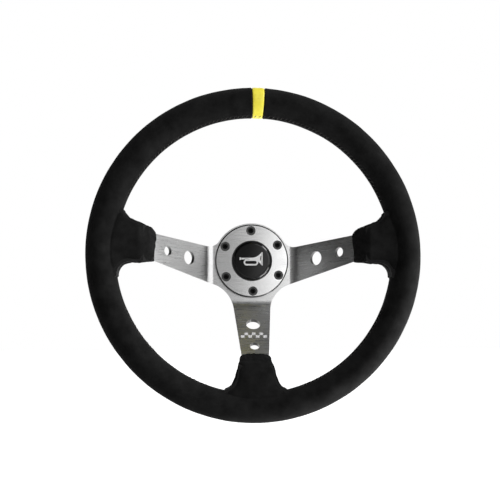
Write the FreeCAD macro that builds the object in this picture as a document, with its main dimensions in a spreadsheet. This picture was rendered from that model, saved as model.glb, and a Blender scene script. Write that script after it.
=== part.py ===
import FreeCAD, Part
import math
import os
import Sketcher

from FreeCAD import Placement, Rotation, Vector

# Deep-dish competition steering wheel on a ball-lock quick release, in millimetres.
#
# Every piece is drawn about the steering axis, with z as its station: the distance from the
# column hub's rear face towards the driver. x is to the driver's right and y is up. Each
# piece's Placement then turns z to the row's -Y and y to the row's +Z.

# Driving sizes. "radius" values are from the steering axis unless the name says otherwise.
SIZES = {
    # Rim
    "rim_radius": 175.0,
    "grip_radius": 15.3,
    "tube_radius": 5.0,
    "tube_wall": 1.2,
    "suede_thickness": 1.2,
    "glue_gap": 0.2,
    "core_gap": 0.15,
    "marker_width": 12.7,
    "marker_turn": 0.76,
    "marker_groove": 0.35,
    # Stations along the steering axis
    "flange_thickness": 8.0,
    "seat_gap": 0.1,
    "plate_back": 45.0,
    "plate_thickness": 4.0,
    "ring_thickness": 5.0,
    "dish": 65.5,
    # Spoke plate and clamp ring
    "hub_radius": 44.3,
    "ring_radius": 42.4,
    "ring_chamfer": 1.5,
    "ring_hole_radius": 23.5,
    "plate_hole_radius": 23.6,
    "spoke_angle": 47.0,
    "bend_start": 44.5,
    "bend_radius": 12.0,
    "spoke_end": 150.0,
    "spoke_tip": 118.0,
    "spoke_tip_top": 23.9,
    "spoke_tip_bottom": 2.1,
    "spoke_top_slope": 6.05,
    "spoke_bottom_slope": 18.5,
    "lower_tip_half": 12.9,
    "lower_slope": 7.4,
    "upper_fillet": 14.0,
    "lower_fillet": 35.0,
    "large_hole_radius": 7.85,
    "small_hole_radius": 5.1,
    "side_large_x": 72.6,
    "side_large_y": 1.4,
    "side_small_x": 94.4,
    "side_small_y": 5.95,
    "lower_large_y": 74.5,
    "lower_small_y": 97.7,
    # Six M5 screws on a 70 mm circle
    "bolt_circle_radius": 35.0,
    "bolt_clocking": 1.9,
    "screw_radius": 2.5,
    "screw_hole_radius": 2.55,
    "screw_clear_radius": 2.65,
    "column_hole_radius": 2.9,
    "screw_head_radius": 5.0,
    "screw_sink_radius": 5.4,
    "screw_length": 16.0,
    "screw_recess": 0.3,
    "socket_flats": 4.0,
    "socket_depth": 2.6,
    # Rim frame tabs and rivets
    "tab_thickness": 2.5,
    "tab_start": 124.0,
    "tab_end": 156.0,
    "tab_half": 10.0,
    "side_tab_y": 10.9,
    "rivet_radius": 2.5,
    "rivet_hole_radius": 2.6,
    "rivet_head_radius": 4.2,
    "rivet_head": 1.0,
    "inner_rivet": 129.0,
    "outer_rivet": 143.0,
    # Grip paddles over the spoke ends
    "paddle_end": 105.2,
    "paddle_edge_half": 3.7,
    "paddle_knee_half": 6.6,
    "paddle_root_half": 10.4,
    "paddle_root": 154.0,
    "slot_gap": 0.3,
    "slot_start": 95.0,
    # Column hub
    "column_flange_radius": 40.0,
    "edge_chamfer": 1.0,
    "wire_bore_radius": 6.0,
    "nose_bore_radius": 11.0,
    "nose_bore_start": 16.0,
    "spline_root_radius": 16.5,
    "spline_top_radius": 18.5,
    "spline_half": 2.1,
    "master_half": 3.2,
    "spline_gap": 0.1,
    "spline_end": 20.5,
    "nose_radius": 16.0,
    "nose_end": 33.0,
    "nose_chamfer": 1.5,
    "lock_station": 26.0,
    # Lock balls
    "ball_radius": 4.0,
    "ball_centre": 18.4,
    "ball_seat": 17.5,
    "ball_gap": 0.06,
    "groove_gap": 0.15,
    "cam_slope": 0.36,
    "cam_gap": 0.05,
    # Coupler body
    "sleeve_radius": 21.5,
    "pilot_radius": 16.05,
    "coupler_flange_back": 37.0,
    "coupler_flange_radius": 40.0,
    "web_back": 34.0,
    "web_front": 39.0,
    "recess_radius": 24.6,
    "bush_hole_radius": 7.05,
    "circlip_groove_radius": 20.3,
    # Release collar, its stop and its spring
    "collar_bore_radius": 21.56,
    "collar_cavity_radius": 24.5,
    "collar_back": 14.3,
    "collar_front": 31.0,
    "collar_lip_radius": 37.5,
    "collar_rear_radius": 35.0,
    "collar_waist_radius": 33.0,
    "collar_waist_start": 19.2,
    "collar_waist_end": 24.2,
    "collar_lip_start": 27.4,
    "collar_rear_end": 17.2,
    "spring_pocket_inner": 26.0,
    "spring_pocket_outer": 30.6,
    "spring_pocket_floor": 19.0,
    "flute_radius": 2.2,
    "flute_circle": 38.7,
    "spring_wire": 1.0,
    "spring_mean_radius": 28.3,
    "washer_radius": 27.0,
    "washer_thickness": 1.5,
    "circlip_radius": 24.0,
    "circlip_thickness": 1.2,
    "circlip_gap_angle": 40.0,
    # Electrical contacts across the joint
    "insulator_radius": 10.97,
    "insulator_front": 31.2,
    "insulator_floor": 23.0,
    "insulator_chamber_radius": 7.0,
    "disc_radius": 8.0,
    "disc_recess_radius": 8.1,
    "disc_back": 30.25,
    "disc_front": 31.75,
    "stem_radius": 2.5,
    "stem_hole_radius": 2.6,
    "stem_end": 17.5,
    "nut_flats": 8.0,
    "nut_thickness": 3.5,
    "pin_radius": 2.4,
    "pin_tip": 31.8,
    "pin_shoulder": 35.6,
    "pin_shoulder_radius": 4.0,
    "pin_shoulder_thickness": 1.0,
    "pin_tail_radius": 1.8,
    "pin_tail_end": 39.0,
    "pin_hole_radius": 2.5,
    "bush_radius": 7.0,
    "bush_head_radius": 9.5,
    "bush_head": 1.5,
    "bush_chamber_radius": 4.1,
    "pin_wire": 0.3,
    "pin_spring_radius": 2.9,
    # Horn button
    "cup_radius": 23.45,
    "cup_flange_radius": 24.4,
    "cup_back": 41.0,
    "cup_floor": 42.95,
    "cup_bore_radius": 22.8,
    "cup_lip_radius": 21.65,
    "cup_lip_back": 48.6,
    "cup_front": 54.8,
    "cup_edge": 0.5,
    "cup_hole_radius": 4.1,
    "live_boss_radius": 4.0,
    "live_boss_back": 40.65,
    "live_radius": 9.0,
    "live_front": 43.8,
    "moving_back": 45.35,
    "moving_stem_radius": 4.0,
    "moving_radius": 12.0,
    "moving_thickness": 0.8,
    "cap_roof": 53.5,
    "cap_skirt_radius": 21.3,
    "cap_inner_radius": 19.5,
    "cap_flange_radius": 22.4,
    "cap_back": 46.0,
    "cap_flange_front": 48.4,
    "cap_shoulder": 55.0,
    "cap_front": 56.6,
    "cap_bevel_radius": 3.2,
    "emblem_radius": 18.9,
    "emblem_recess_radius": 18.95,
    "emblem_back": 55.4,
    "emblem_crown": 57.0,
    "horn_wire": 0.6,
    "horn_spring_radius": 15.0,
}

SPLINES = 12
SCREWS = 6
BALLS = 6
FLUTES = 24
COLLAR_SPRING_TURNS = 4
HORN_SPRING_TURNS = 5
PIN_SPRING_TURNS = 3
FULL_TURN = 360.0
FAR = 400.0
SPRING_CLEARANCE = 0.05

TURN_TO_ROW = Placement(Vector(0, 0, 0), Rotation(Vector(1, 0, 0), 90))


def tan(angle):
    return math.tan(math.radians(angle))


def sin(angle):
    return math.sin(math.radians(angle))


def cos(angle):
    return math.cos(math.radians(angle))


# Sizes worked out from the driving ones ------------------------------------------------------


def work_out_stations(s):
    """Stations and radii that follow from the stack of flange, plate, ring and rim."""
    s["sleeve_back"] = s["flange_thickness"] + s["seat_gap"]
    s["plate_front"] = s["plate_back"] + s["plate_thickness"]
    s["plate_middle"] = s["plate_back"] + s["plate_thickness"] / 2
    s["ring_front"] = s["plate_front"] + s["ring_thickness"]
    s["rim_plane"] = s["ring_front"] + s["dish"]
    s["rim_centre_radius"] = s["rim_radius"] - s["grip_radius"]
    s["flange_chamfer_radius"] = s["column_flange_radius"] - s["edge_chamfer"]
    s["flange_chamfer_front"] = s["flange_thickness"] - s["edge_chamfer"]
    sink_depth = s["screw_sink_radius"] - s["column_hole_radius"]
    s["column_sink_start"] = s["flange_thickness"] - sink_depth
    s["nose_chamfer_start"] = s["nose_end"] - s["nose_chamfer"]
    s["nose_chamfer_radius"] = s["nose_radius"] - s["nose_chamfer"]
    s["spline_length"] = s["spline_end"] - s["flange_thickness"]
    s["spline_foot"] = s["spline_root_radius"] - s["edge_chamfer"]


def work_out_lock(s):
    """The ball groove, the ball's seat and the collar's cam, which is a straight cone."""
    groove = s["ball_radius"] + s["groove_gap"]
    depth = s["ball_centre"] - s["nose_radius"]
    half_width = math.sqrt(groove**2 - depth**2)
    s["groove_radius"] = groove
    s["groove_back"] = s["lock_station"] - half_width
    s["groove_front"] = s["lock_station"] + half_width
    s["ball_hole_radius"] = s["ball_radius"] + s["ball_gap"]
    s["ball_hole_bottom"] = s["ball_seat"] - s["ball_hole_radius"]
    s["ball_hole_top"] = s["sleeve_radius"] + s["edge_chamfer"]
    angle = math.atan(s["cam_slope"])
    reach = s["ball_radius"] + s["cam_gap"]
    touch_station = s["lock_station"] + reach * math.sin(angle)
    touch_radius = s["ball_centre"] + reach * math.cos(angle)
    s["cam_front"] = touch_station + (touch_radius - s["collar_bore_radius"]) / s["cam_slope"]
    cam_rise = s["collar_cavity_radius"] - s["collar_bore_radius"]
    s["cam_back"] = s["cam_front"] - cam_rise / s["cam_slope"]


def work_out_coupler(s):
    """The coupler's splines, circlip groove and screw holes, and the collar's edges."""
    s["socket_end"] = s["spline_end"] + s["edge_chamfer"] / 2
    s["socket_root_radius"] = s["spline_root_radius"] + s["spline_gap"]
    s["socket_top_radius"] = s["spline_top_radius"] + 3 * s["spline_gap"]
    s["socket_half"] = s["spline_half"] + s["spline_gap"]
    s["socket_master_half"] = s["master_half"] + s["spline_gap"]
    s["socket_foot"] = s["nose_radius"] - s["edge_chamfer"]
    s["socket_depth_length"] = s["socket_end"]
    s["washer_front"] = s["collar_back"] - SPRING_CLEARANCE
    s["washer_back"] = s["washer_front"] - s["washer_thickness"]
    s["washer_bore_radius"] = s["sleeve_radius"] + s["spline_gap"]
    s["circlip_front"] = s["washer_back"] - SPRING_CLEARANCE
    s["circlip_back"] = s["circlip_front"] - s["circlip_thickness"]
    s["circlip_bore_radius"] = s["circlip_groove_radius"] + s["spline_gap"]
    s["circlip_groove_back"] = s["circlip_back"] - SPRING_CLEARANCE
    s["circlip_groove_front"] = s["circlip_front"] + SPRING_CLEARANCE
    s["screw_x"] = -s["bolt_circle_radius"] * sin(s["bolt_clocking"])
    s["screw_y"] = s["bolt_circle_radius"] * cos(s["bolt_clocking"])
    s["coupler_chamfer_back"] = s["coupler_flange_back"] + s["edge_chamfer"]
    s["coupler_chamfer_radius"] = s["coupler_flange_radius"] - s["edge_chamfer"]
    s["lip_chamfer_radius"] = s["collar_lip_radius"] - s["edge_chamfer"]
    s["lip_chamfer_front"] = s["collar_front"] - s["edge_chamfer"]
    s["rear_chamfer_radius"] = s["collar_rear_radius"] - s["edge_chamfer"]
    s["rear_chamfer_back"] = s["collar_back"] + s["edge_chamfer"]
    s["lip_arc_radius"] = 4.0
    s["rear_arc_radius"] = 2.5


def work_out_small_parts(s):
    """Screws, rivets, contacts and the horn button's edges."""
    s["screw_top"] = s["ring_front"] - s["screw_recess"]
    s["screw_neck"] = s["screw_top"] - (s["screw_head_radius"] - s["screw_radius"])
    s["screw_end"] = s["screw_top"] - s["screw_length"]
    s["ring_sink_start"] = s["ring_front"] - (s["screw_sink_radius"] - s["screw_clear_radius"])
    s["ring_edge_radius"] = s["ring_radius"] - s["ring_chamfer"]
    s["ring_edge_front"] = s["ring_front"] - s["ring_chamfer"]
    s["socket_corner"] = s["socket_flats"] / math.sqrt(3)
    s["nut_corner"] = s["nut_flats"] / math.sqrt(3)
    s["nut_back"] = s["insulator_floor"] - SPRING_CLEARANCE - s["nut_thickness"]
    s["disc_seat"] = s["disc_back"] - SPRING_CLEARANCE
    s["pin_tip_side"] = s["pin_tip"] + s["pin_radius"]
    s["pin_shoulder_front"] = s["pin_shoulder"] + s["pin_shoulder_thickness"]
    s["bush_floor"] = s["pin_shoulder"] - SPRING_CLEARANCE
    s["bush_head_back"] = s["web_front"] + SPRING_CLEARANCE
    s["bush_head_front"] = s["bush_head_back"] + s["bush_head"]
    s["live_back"] = s["cup_floor"] + SPRING_CLEARANCE
    s["moving_disc_front"] = s["cap_roof"] - SPRING_CLEARANCE
    s["moving_disc_back"] = s["moving_disc_front"] - s["moving_thickness"]
    s["cup_flange_front"] = s["plate_back"] - SPRING_CLEARANCE
    s["cup_edge_radius"] = s["cup_radius"] - s["cup_edge"]
    s["cup_edge_front"] = s["cup_front"] - s["cup_edge"]
    s["cup_edge_inner"] = s["cup_lip_radius"] + s["cup_edge"]
    rise = s["emblem_crown"] - s["cap_front"]
    s["emblem_dome_radius"] = (s["emblem_radius"] ** 2 + rise**2) / (2 * rise)
    s["tab_front"] = s["rim_plane"] - s["plate_thickness"] / 2
    s["tab_back"] = s["tab_front"] - s["tab_thickness"]
    s["side_tab_bottom"] = s["side_tab_y"] - s["tab_half"]
    s["side_tab_top"] = s["side_tab_y"] + s["tab_half"]
    s["rivet_top"] = s["rim_plane"] + s["plate_thickness"] / 2
    s["rivet_head_top"] = s["rivet_top"] + s["rivet_head"]
    s["rivet_head_bottom"] = s["tab_back"] - s["rivet_head"]
    s["rivet_grip"] = s["rivet_top"] - s["tab_back"]
    s["tube_bore"] = s["tube_radius"] - s["tube_wall"]


def work_out_bent_strip(s, name, thickness):
    """Corner points of a spoke's side view: flat, bent up at spoke_angle, bent flat again."""
    angle = s["spoke_angle"]
    bend = s["bend_radius"]
    half = thickness / 2
    first_rise = bend * (1 - cos(angle))
    straight_rise = s["rim_plane"] - s["plate_middle"] - 2 * first_rise
    first_centre = s["plate_middle"] + bend
    second_centre = s["rim_plane"] - bend
    second_x = s["bend_start"] + 2 * bend * sin(angle) + straight_rise / tan(angle)
    s["spoke_flat"] = second_x
    for side, grow in (("front", half), ("back", -half)):
        near = bend - grow
        far = bend + grow
        s[f"{name}_{side}_hub"] = s["plate_middle"] + grow
        s[f"{name}_{side}_near"] = near
        s[f"{name}_{side}_far"] = far
        s[f"{name}_{side}_x1"] = s["bend_start"] + near * sin(angle)
        s[f"{name}_{side}_z1"] = first_centre - near * cos(angle)
        s[f"{name}_{side}_x2"] = second_x - far * sin(angle)
        s[f"{name}_{side}_z2"] = second_centre + far * cos(angle)
        s[f"{name}_{side}_rim"] = s["rim_plane"] + grow


def work_out_strip_widths(s):
    """Each strip ends where the other one bends, so that they only share the flat hub."""
    s["side_strip_width"] = s["hub_radius"] + s["bend_start"]
    s["lower_strip_width"] = 2 * s["bend_start"]


def work_out_spoke_holes(s):
    """Hole centres measured up the sloping part of each spoke from the first bend's end."""
    s["slope_x"] = s["bend_start"] + s["bend_radius"] * sin(s["spoke_angle"])
    s["slope_z"] = s["plate_middle"] + s["bend_radius"] * (1 - cos(s["spoke_angle"]))
    for name in ("side_large_x", "side_small_x", "lower_large_y", "lower_small_y"):
        s[f"{name}_along"] = (s[name] - s["slope_x"]) / cos(s["spoke_angle"])


def work_out_plate_outline(s):
    """Tangent points of the fillets between the hub and the spokes, seen along the axis."""
    # Upper fillet: touches the hub circle and a side spoke's top edge.
    slope = tan(s["spoke_top_slope"])
    length = math.hypot(1, slope)
    fillet = s["upper_fillet"]
    offset = s["spoke_tip_top"] - slope * s["spoke_tip"] + fillet * length
    reach = s["hub_radius"] + fillet
    root = math.sqrt(reach**2 * (1 + slope**2) - offset**2)
    centre_x = (root - slope * offset) / (1 + slope**2)
    centre_y = slope * centre_x + offset
    s["upper_spoke_x"] = centre_x + fillet * slope / length
    s["upper_spoke_y"] = centre_y - fillet / length
    s["upper_hub_x"] = centre_x * s["hub_radius"] / reach
    s["upper_hub_y"] = centre_y * s["hub_radius"] / reach

    # Lower fillet: touches a side spoke's bottom edge and the lower spoke's edge.
    slope = tan(s["spoke_bottom_slope"])
    length = math.hypot(1, slope)
    lean = tan(s["lower_slope"])
    lean_length = math.hypot(1, lean)
    fillet = s["lower_fillet"]
    side = -s["spoke_tip_bottom"] - slope * s["spoke_tip"] - fillet * length
    edge = s["lower_tip_half"] + lean * s["spoke_tip"] + fillet * lean_length
    centre_x = (edge + lean * side) / (1 - lean * slope)
    centre_y = slope * centre_x + side
    s["lower_side_x"] = centre_x - fillet * slope / length
    s["lower_side_y"] = -(centre_y + fillet / length)
    s["lower_edge_x"] = centre_x - fillet / lean_length
    s["lower_edge_y"] = -(centre_y + fillet * lean / lean_length)


def work_out_slot_plan(s):
    """The spoke ends' edges with a gap round them, from a little inside the grip."""
    gap = s["slot_gap"]
    inside = s["spoke_tip"] - s["slot_start"]
    s["slot_top"] = s["spoke_tip_top"] + gap
    s["slot_bottom"] = s["spoke_tip_bottom"] + gap
    s["slot_half"] = s["lower_tip_half"] + gap
    s["slot_start_top"] = s["slot_top"] - inside * tan(s["spoke_top_slope"])
    s["slot_start_bottom"] = s["slot_bottom"] + inside * tan(s["spoke_bottom_slope"])
    s["slot_start_half"] = s["slot_half"] + inside * tan(s["lower_slope"])


def work_out_paddle(s, name, inset):
    """A grip paddle's side view and plan, drawn in by inset from the suede's outside."""
    angle = s["spoke_angle"]
    front_z = s["strip_front_z1"] + (s["paddle_end"] - s["strip_front_x1"]) * tan(angle)
    middle_x = s["paddle_end"] + s["plate_thickness"] / 2 * sin(angle)
    middle_z = front_z - s["plate_thickness"] / 2 * cos(angle)
    middle_x += inset * cos(angle)
    middle_z += inset * sin(angle)
    edge = s["paddle_edge_half"] - inset
    knee = s["paddle_knee_half"] - inset
    root = s["paddle_root_half"] - inset
    s[f"{name}_root"] = s["paddle_root"]
    for side, sign in (("front", 1), ("back", -1)):
        s[f"{name}_{side}_edge_x"] = middle_x - sign * edge * sin(angle)
        s[f"{name}_{side}_edge_z"] = middle_z + sign * edge * cos(angle)
        s[f"{name}_{side}_knee_x"] = s["spoke_tip"] - sign * knee * tan(angle / 2)
        s[f"{name}_{side}_knee_z"] = s["rim_plane"] + sign * knee
        s[f"{name}_{side}_root_z"] = s["rim_plane"] + sign * root
    s[f"{name}_start"] = s["paddle_end"] - s["paddle_knee_half"]
    for key, value in PADDLE_PLAN.items():
        s[f"{name}_{key}"] = value - inset if key.endswith("_y") else value
    for key, value in LOWER_PADDLE_PLAN.items():
        s[f"{name}_{key}"] = value - inset if key.endswith("_x") else value


# Paddle plans: distances of the outline's corners from the steering axis, along the spoke
# and across it. "up" is a side paddle's upper edge, "down" its lower one.
PADDLE_PLAN = {
    "up_start_y": 24.4,
    "up_bump_x": 109.5,
    "up_bump_y": 28.6,
    "up_mid_x": 123.0,
    "up_mid_y": 33.0,
    "up_rim_x": 136.0,
    "up_rim_y": 46.5,
    "up_root_y": 56.0,
    "down_start_y": 7.6,
    "down_mid_x": 130.5,
    "down_mid_y": 10.0,
    "down_rim_x": 142.2,
    "down_rim_y": 24.0,
    "down_root_y": 36.0,
}
LOWER_PADDLE_PLAN = {
    "low_start_x": 15.2,
    "low_bump_y": 115.0,
    "low_bump_x": 18.9,
    "low_mid_y": 124.0,
    "low_mid_x": 20.8,
    "low_rim_y": 139.6,
    "low_rim_x": 33.0,
    "low_root_x": 44.0,
}
PADDLE_ARC = 18.0
PADDLE_SMALL_ARC = 13.0


def work_out_rim(s):
    """Suede, foam and marker, which share one torus centre line."""
    s["paddle_arc"] = PADDLE_ARC
    s["paddle_small_arc"] = PADDLE_SMALL_ARC
    for name, inset in ENVELOPES.items():
        s[f"{name}_section"] = s["grip_radius"] - inset
        work_out_paddle(s, name, inset)
    s["frame_clear_radius"] = s["tube_radius"] + s["core_gap"]
    s["marker_angle"] = math.degrees(s["marker_width"] / s["rim_radius"])
    s["groove_angle"] = math.degrees(s["marker_groove"] / s["rim_radius"])
    s["suede_angle"] = FULL_TURN - s["marker_angle"] - 2 * s["groove_angle"]
    s["marker_start"] = 90 - s["marker_turn"] - s["marker_angle"] / 2
    s["suede_start"] = 90 - s["marker_turn"] + s["marker_angle"] / 2 + s["groove_angle"]


ENVELOPES = {
    "outer": 0.0,
    "inner": SIZES["suede_thickness"],
    "foam": SIZES["suede_thickness"] + SIZES["glue_gap"],
}


def work_out_sizes(s):
    work_out_stations(s)
    work_out_lock(s)
    work_out_coupler(s)
    work_out_small_parts(s)
    work_out_bent_strip(s, "strip", s["plate_thickness"])
    work_out_bent_strip(s, "slot", s["plate_thickness"] + s["slot_gap"])
    work_out_strip_widths(s)
    work_out_spoke_holes(s)
    work_out_plate_outline(s)
    work_out_slot_plan(s)
    work_out_rim(s)


# Document helpers ----------------------------------------------------------------------------


def fill_sheet(doc):
    sheet = doc.addObject("Spreadsheet::Sheet", "Sizes")
    for row, (alias, value) in enumerate(SIZES.items(), start=1):
        sheet.set(f"A{row}", alias)
        sheet.set(f"B{row}", f"{value:.6f}")
        sheet.setAlias(f"B{row}", alias)
    doc.recompute()


def value_of(size):
    """The number behind a size's name; a leading minus turns it over, and 0 is the axis."""
    if size == 0:
        return 0.0
    if size.startswith("-"):
        return -SIZES[size[1:]]
    return SIZES[size]


def formula_of(size):
    if size.startswith("-"):
        return f"-Sizes.{size[1:]}"
    return f"Sizes.{size}"


def bind(obj, **sizes):
    """Ties properties of obj to cells of the sheet."""
    for prop, size in sizes.items():
        obj.setExpression(prop, formula_of(size))


def new_body(doc, name):
    body = doc.addObject("PartDesign::Body", name)
    body.Label = name
    body.AllowCompound = True
    return body


def origin_feature(body, role):
    return next(f for f in body.Origin.OriginFeatures if f.Role == role)


def sketch_on(body, role, name, offset=None):
    """A sketch on one of the body's origin planes; offset binds its AttachmentOffset.Base."""
    sketch = body.newObject("Sketcher::SketchObject", name)
    sketch.AttachmentSupport = [(origin_feature(body, role), "")]
    sketch.MapMode = "FlatFace"
    for axis, size in (offset or {}).items():
        sketch.setExpression(f"AttachmentOffset.Base.{axis}", formula_of(size))
    return sketch


def constrain(sketch, kind, target, name, size):
    """One dimension of the sketch, named and tied to the sheet."""
    index = sketch.addConstraint(Sketcher.Constraint(kind, *target, value_of(size)))
    sketch.renameConstraint(index, name)
    if size != 0:
        sketch.setExpression(f"Constraints.{name}", formula_of(size))


def arc_between(start, end, radius, left):
    """The minor arc from start to end that turns left or right, as Sketcher stores it."""
    chord = end - start
    half = chord.Length / 2
    across = Vector(-chord.y, chord.x, 0).normalize()
    if not left:
        across = -across
    centre = (start + end) / 2 + across * math.sqrt(radius**2 - half**2)
    first, last = (start, end) if left else (end, start)
    circle = Part.Circle(centre, Vector(0, 0, 1), radius)
    return Part.ArcOfCircle(circle, circle.parameter(first), circle.parameter(last))


def draw_outline(sketch, corners, prefix="p"):
    """A closed outline. A corner is (x size, y size), or (x size, y size, turn, radius size)
    where an arc that turns "left" or "right" leads from the corner before it."""
    first = sketch.GeometryCount
    count = len(corners)
    points = [Vector(value_of(c[0]), value_of(c[1]), 0) for c in corners]
    ends = []
    for i in range(count):
        step = corners[(i + 1) % count]
        start = points[i]
        end = points[(i + 1) % count]
        if len(step) == 2:
            sketch.addGeometry(Part.LineSegment(start, end), False)
            ends.append((1, 2))
        else:
            left = step[2] == "left"
            sketch.addGeometry(arc_between(start, end, value_of(step[3]), left), False)
            ends.append((1, 2) if left else (2, 1))
    for i in range(count):
        after = (i + 1) % count
        joint = (first + i, ends[i][1], first + after, ends[after][0])
        sketch.addConstraint(Sketcher.Constraint("Coincident", *joint))
    for i, corner in enumerate(corners):
        target = (-1, 1, first + i, ends[i][0])
        constrain(sketch, "DistanceX", target, f"{prefix}{i}x", corner[0])
        constrain(sketch, "DistanceY", target, f"{prefix}{i}y", corner[1])
        if len(corner) > 2:
            arc = first + (i - 1) % count
            constrain(sketch, "Radius", (arc,), f"{prefix}{i}r", corner[3])


def draw_circle(sketch, x, y, radius, name):
    centre = Vector(value_of(x), value_of(y), 0)
    index = sketch.addGeometry(Part.Circle(centre, Vector(0, 0, 1), value_of(radius)), False)
    constrain(sketch, "DistanceX", (-1, 1, index, 3), f"{name}x", x)
    constrain(sketch, "DistanceY", (-1, 1, index, 3), f"{name}y", y)
    constrain(sketch, "Radius", (index,), f"{name}r", radius)


def draw_hexagon(sketch, corner, turn=0.0):
    """A hexagon about the sketch's origin, held by a circle through its corners."""
    reach = value_of(corner)
    circle = sketch.addGeometry(Part.Circle(Vector(0, 0, 0), Vector(0, 0, 1), reach), True)
    sketch.addConstraint(Sketcher.Constraint("Coincident", circle, 3, -1, 1))
    constrain(sketch, "Radius", (circle,), "corner", corner)
    angles = [math.radians(turn + 60 * i) for i in range(6)]
    tips = [Vector(reach * math.cos(a), reach * math.sin(a), 0) for a in angles]
    sides = [
        sketch.addGeometry(Part.LineSegment(tips[i], tips[(i + 1) % 6]), False) for i in range(6)
    ]
    for i, side in enumerate(sides):
        after = sides[(i + 1) % 6]
        sketch.addConstraint(Sketcher.Constraint("Coincident", side, 2, after, 1))
        sketch.addConstraint(Sketcher.Constraint("PointOnObject", side, 2, circle))
        if i:
            sketch.addConstraint(Sketcher.Constraint("Equal", sides[0], side))


def revolve(body, name, corners):
    """A solid turned about the steering axis from (radius, station) corners."""
    sketch = sketch_on(body, "XZ_Plane", f"{name}_profile")
    draw_outline(sketch, corners)
    feature = body.newObject("PartDesign::Revolution", name)
    feature.Profile = sketch
    feature.ReferenceAxis = (sketch, ["V_Axis"])
    feature.Angle = FULL_TURN
    body.Tip = feature
    return feature


def turned_cut(body, name, role, corners, axis, offset):
    """A round cut about the sketch's own axis, moved by offset."""
    sketch = sketch_on(body, role, f"{name}_profile", offset)
    draw_outline(sketch, corners)
    feature = body.newObject("PartDesign::Groove", name)
    feature.Profile = sketch
    feature.ReferenceAxis = (sketch, [axis])
    feature.Angle = FULL_TURN
    body.Tip = feature
    return feature


def pad(body, name, sketch, length, midplane=False):
    feature = body.newObject("PartDesign::Pad", name)
    feature.Profile = sketch
    feature.Midplane = midplane
    bind(feature, Length=length)
    body.Tip = feature
    return feature


def pocket(body, name, sketch, length=None, reverse=False):
    """A cut as deep as length, or right through both ways where none is given."""
    feature = body.newObject("PartDesign::Pocket", name)
    feature.Profile = sketch
    if length is None:
        feature.Midplane = True
        feature.Type = "ThroughAll"
    else:
        bind(feature, Length=length)
        feature.Reversed = reverse
    body.Tip = feature
    return feature


def pattern(body, name, feature, count):
    """Repeats a feature round the steering axis."""
    body.Document.recompute()
    repeat = body.newObject("PartDesign::PolarPattern", name)
    repeat.Originals = [feature]
    repeat.Axis = (origin_feature(body, "Z_Axis"), [""])
    repeat.Angle = FULL_TURN
    repeat.Occurrences = count
    body.Tip = repeat
    return repeat


def mirror(body, name, feature):
    """Repeats a feature on the other side of the wheel's upright middle plane."""
    body.Document.recompute()
    repeat = body.newObject("PartDesign::Mirrored", name)
    repeat.Originals = [feature]
    repeat.MirrorPlane = (origin_feature(body, "YZ_Plane"), [""])
    body.Tip = repeat
    return repeat


def coil(doc, name, mean_radius, wire, bottom, top, turns):
    """A coil spring between two stations, its wire just clear of both."""
    lift = value_of(wire) + SPRING_CLEARANCE
    start = value_of(bottom) + lift
    height = value_of(top) - lift - start
    helix = doc.addObject("Part::Helix", f"{name}_path")
    helix.Pitch = height / turns
    helix.Height = height
    bind(helix, Radius=mean_radius)
    helix.Placement = Placement(Vector(0, 0, start), Rotation())
    section = doc.addObject("Part::Circle", f"{name}_wire")
    bind(section, Radius=wire)
    upright = Rotation(Vector(1, 0, 0), 90)
    section.Placement = Placement(Vector(value_of(mean_radius), 0, start), upright)
    sweep = doc.addObject("Part::Sweep", name)
    sweep.Sections = [section]
    sweep.Spine = (helix, ["Edge1"])
    sweep.Solid = True
    sweep.Frenet = True
    sweep.Label = name
    return sweep


# Column half of the quick release ------------------------------------------------------------


def make_column_hub(doc):
    """Flange for the steering boss, splined root, and a nose with the ball groove."""
    body = new_body(doc, "column_hub")
    revolve(
        body,
        "hub_turning",
        [
            ("wire_bore_radius", 0),
            ("flange_chamfer_radius", 0),
            ("column_flange_radius", "edge_chamfer"),
            ("column_flange_radius", "flange_chamfer_front"),
            ("flange_chamfer_radius", "flange_thickness"),
            ("spline_root_radius", "flange_thickness"),
            ("spline_root_radius", "spline_end"),
            ("nose_radius", "spline_end"),
            ("nose_radius", "groove_back"),
            ("nose_radius", "groove_front", "right", "groove_radius"),
            ("nose_radius", "nose_chamfer_start"),
            ("nose_chamfer_radius", "nose_end"),
            ("nose_bore_radius", "nose_end"),
            ("nose_bore_radius", "nose_bore_start"),
            ("wire_bore_radius", "nose_bore_start"),
        ],
    )
    for name, half, count in (("tooth", "spline_half", SPLINES), ("master", "master_half", 1)):
        sketch = sketch_on(body, "XY_Plane", f"{name}_profile", {"z": "flange_thickness"})
        corners = [
            (f"-{half}", "spline_foot"),
            (half, "spline_foot"),
            (half, "spline_top_radius"),
            (f"-{half}", "spline_top_radius"),
        ]
        draw_outline(sketch, corners)
        tooth = pad(body, name, sketch, "spline_length")
        if count > 1:
            pattern(body, f"{name}_ring", tooth, count)
    doc.recompute()
    hole = turned_cut(
        body,
        "screw_hole",
        "YZ_Plane",
        [
            (0, 0),
            ("column_hole_radius", 0),
            ("column_hole_radius", "column_sink_start"),
            ("screw_sink_radius", "flange_thickness"),
            (0, "flange_thickness"),
        ],
        "V_Axis",
        {"x": "bolt_circle_radius"},
    )
    pattern(body, "screw_holes", hole, SCREWS)
    return body


def make_contact_insulator(doc):
    """Plastic plug in the hub's nose, hollow behind for the terminal nut."""
    body = new_body(doc, "contact_insulator")
    revolve(
        body,
        "plug_turning",
        [
            ("stem_hole_radius", "insulator_floor"),
            ("insulator_chamber_radius", "insulator_floor"),
            ("insulator_chamber_radius", "nose_bore_start"),
            ("insulator_radius", "nose_bore_start"),
            ("insulator_radius", "insulator_front"),
            ("disc_recess_radius", "insulator_front"),
            ("disc_recess_radius", "disc_seat"),
            ("stem_hole_radius", "disc_seat"),
        ],
    )
    return body


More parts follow.
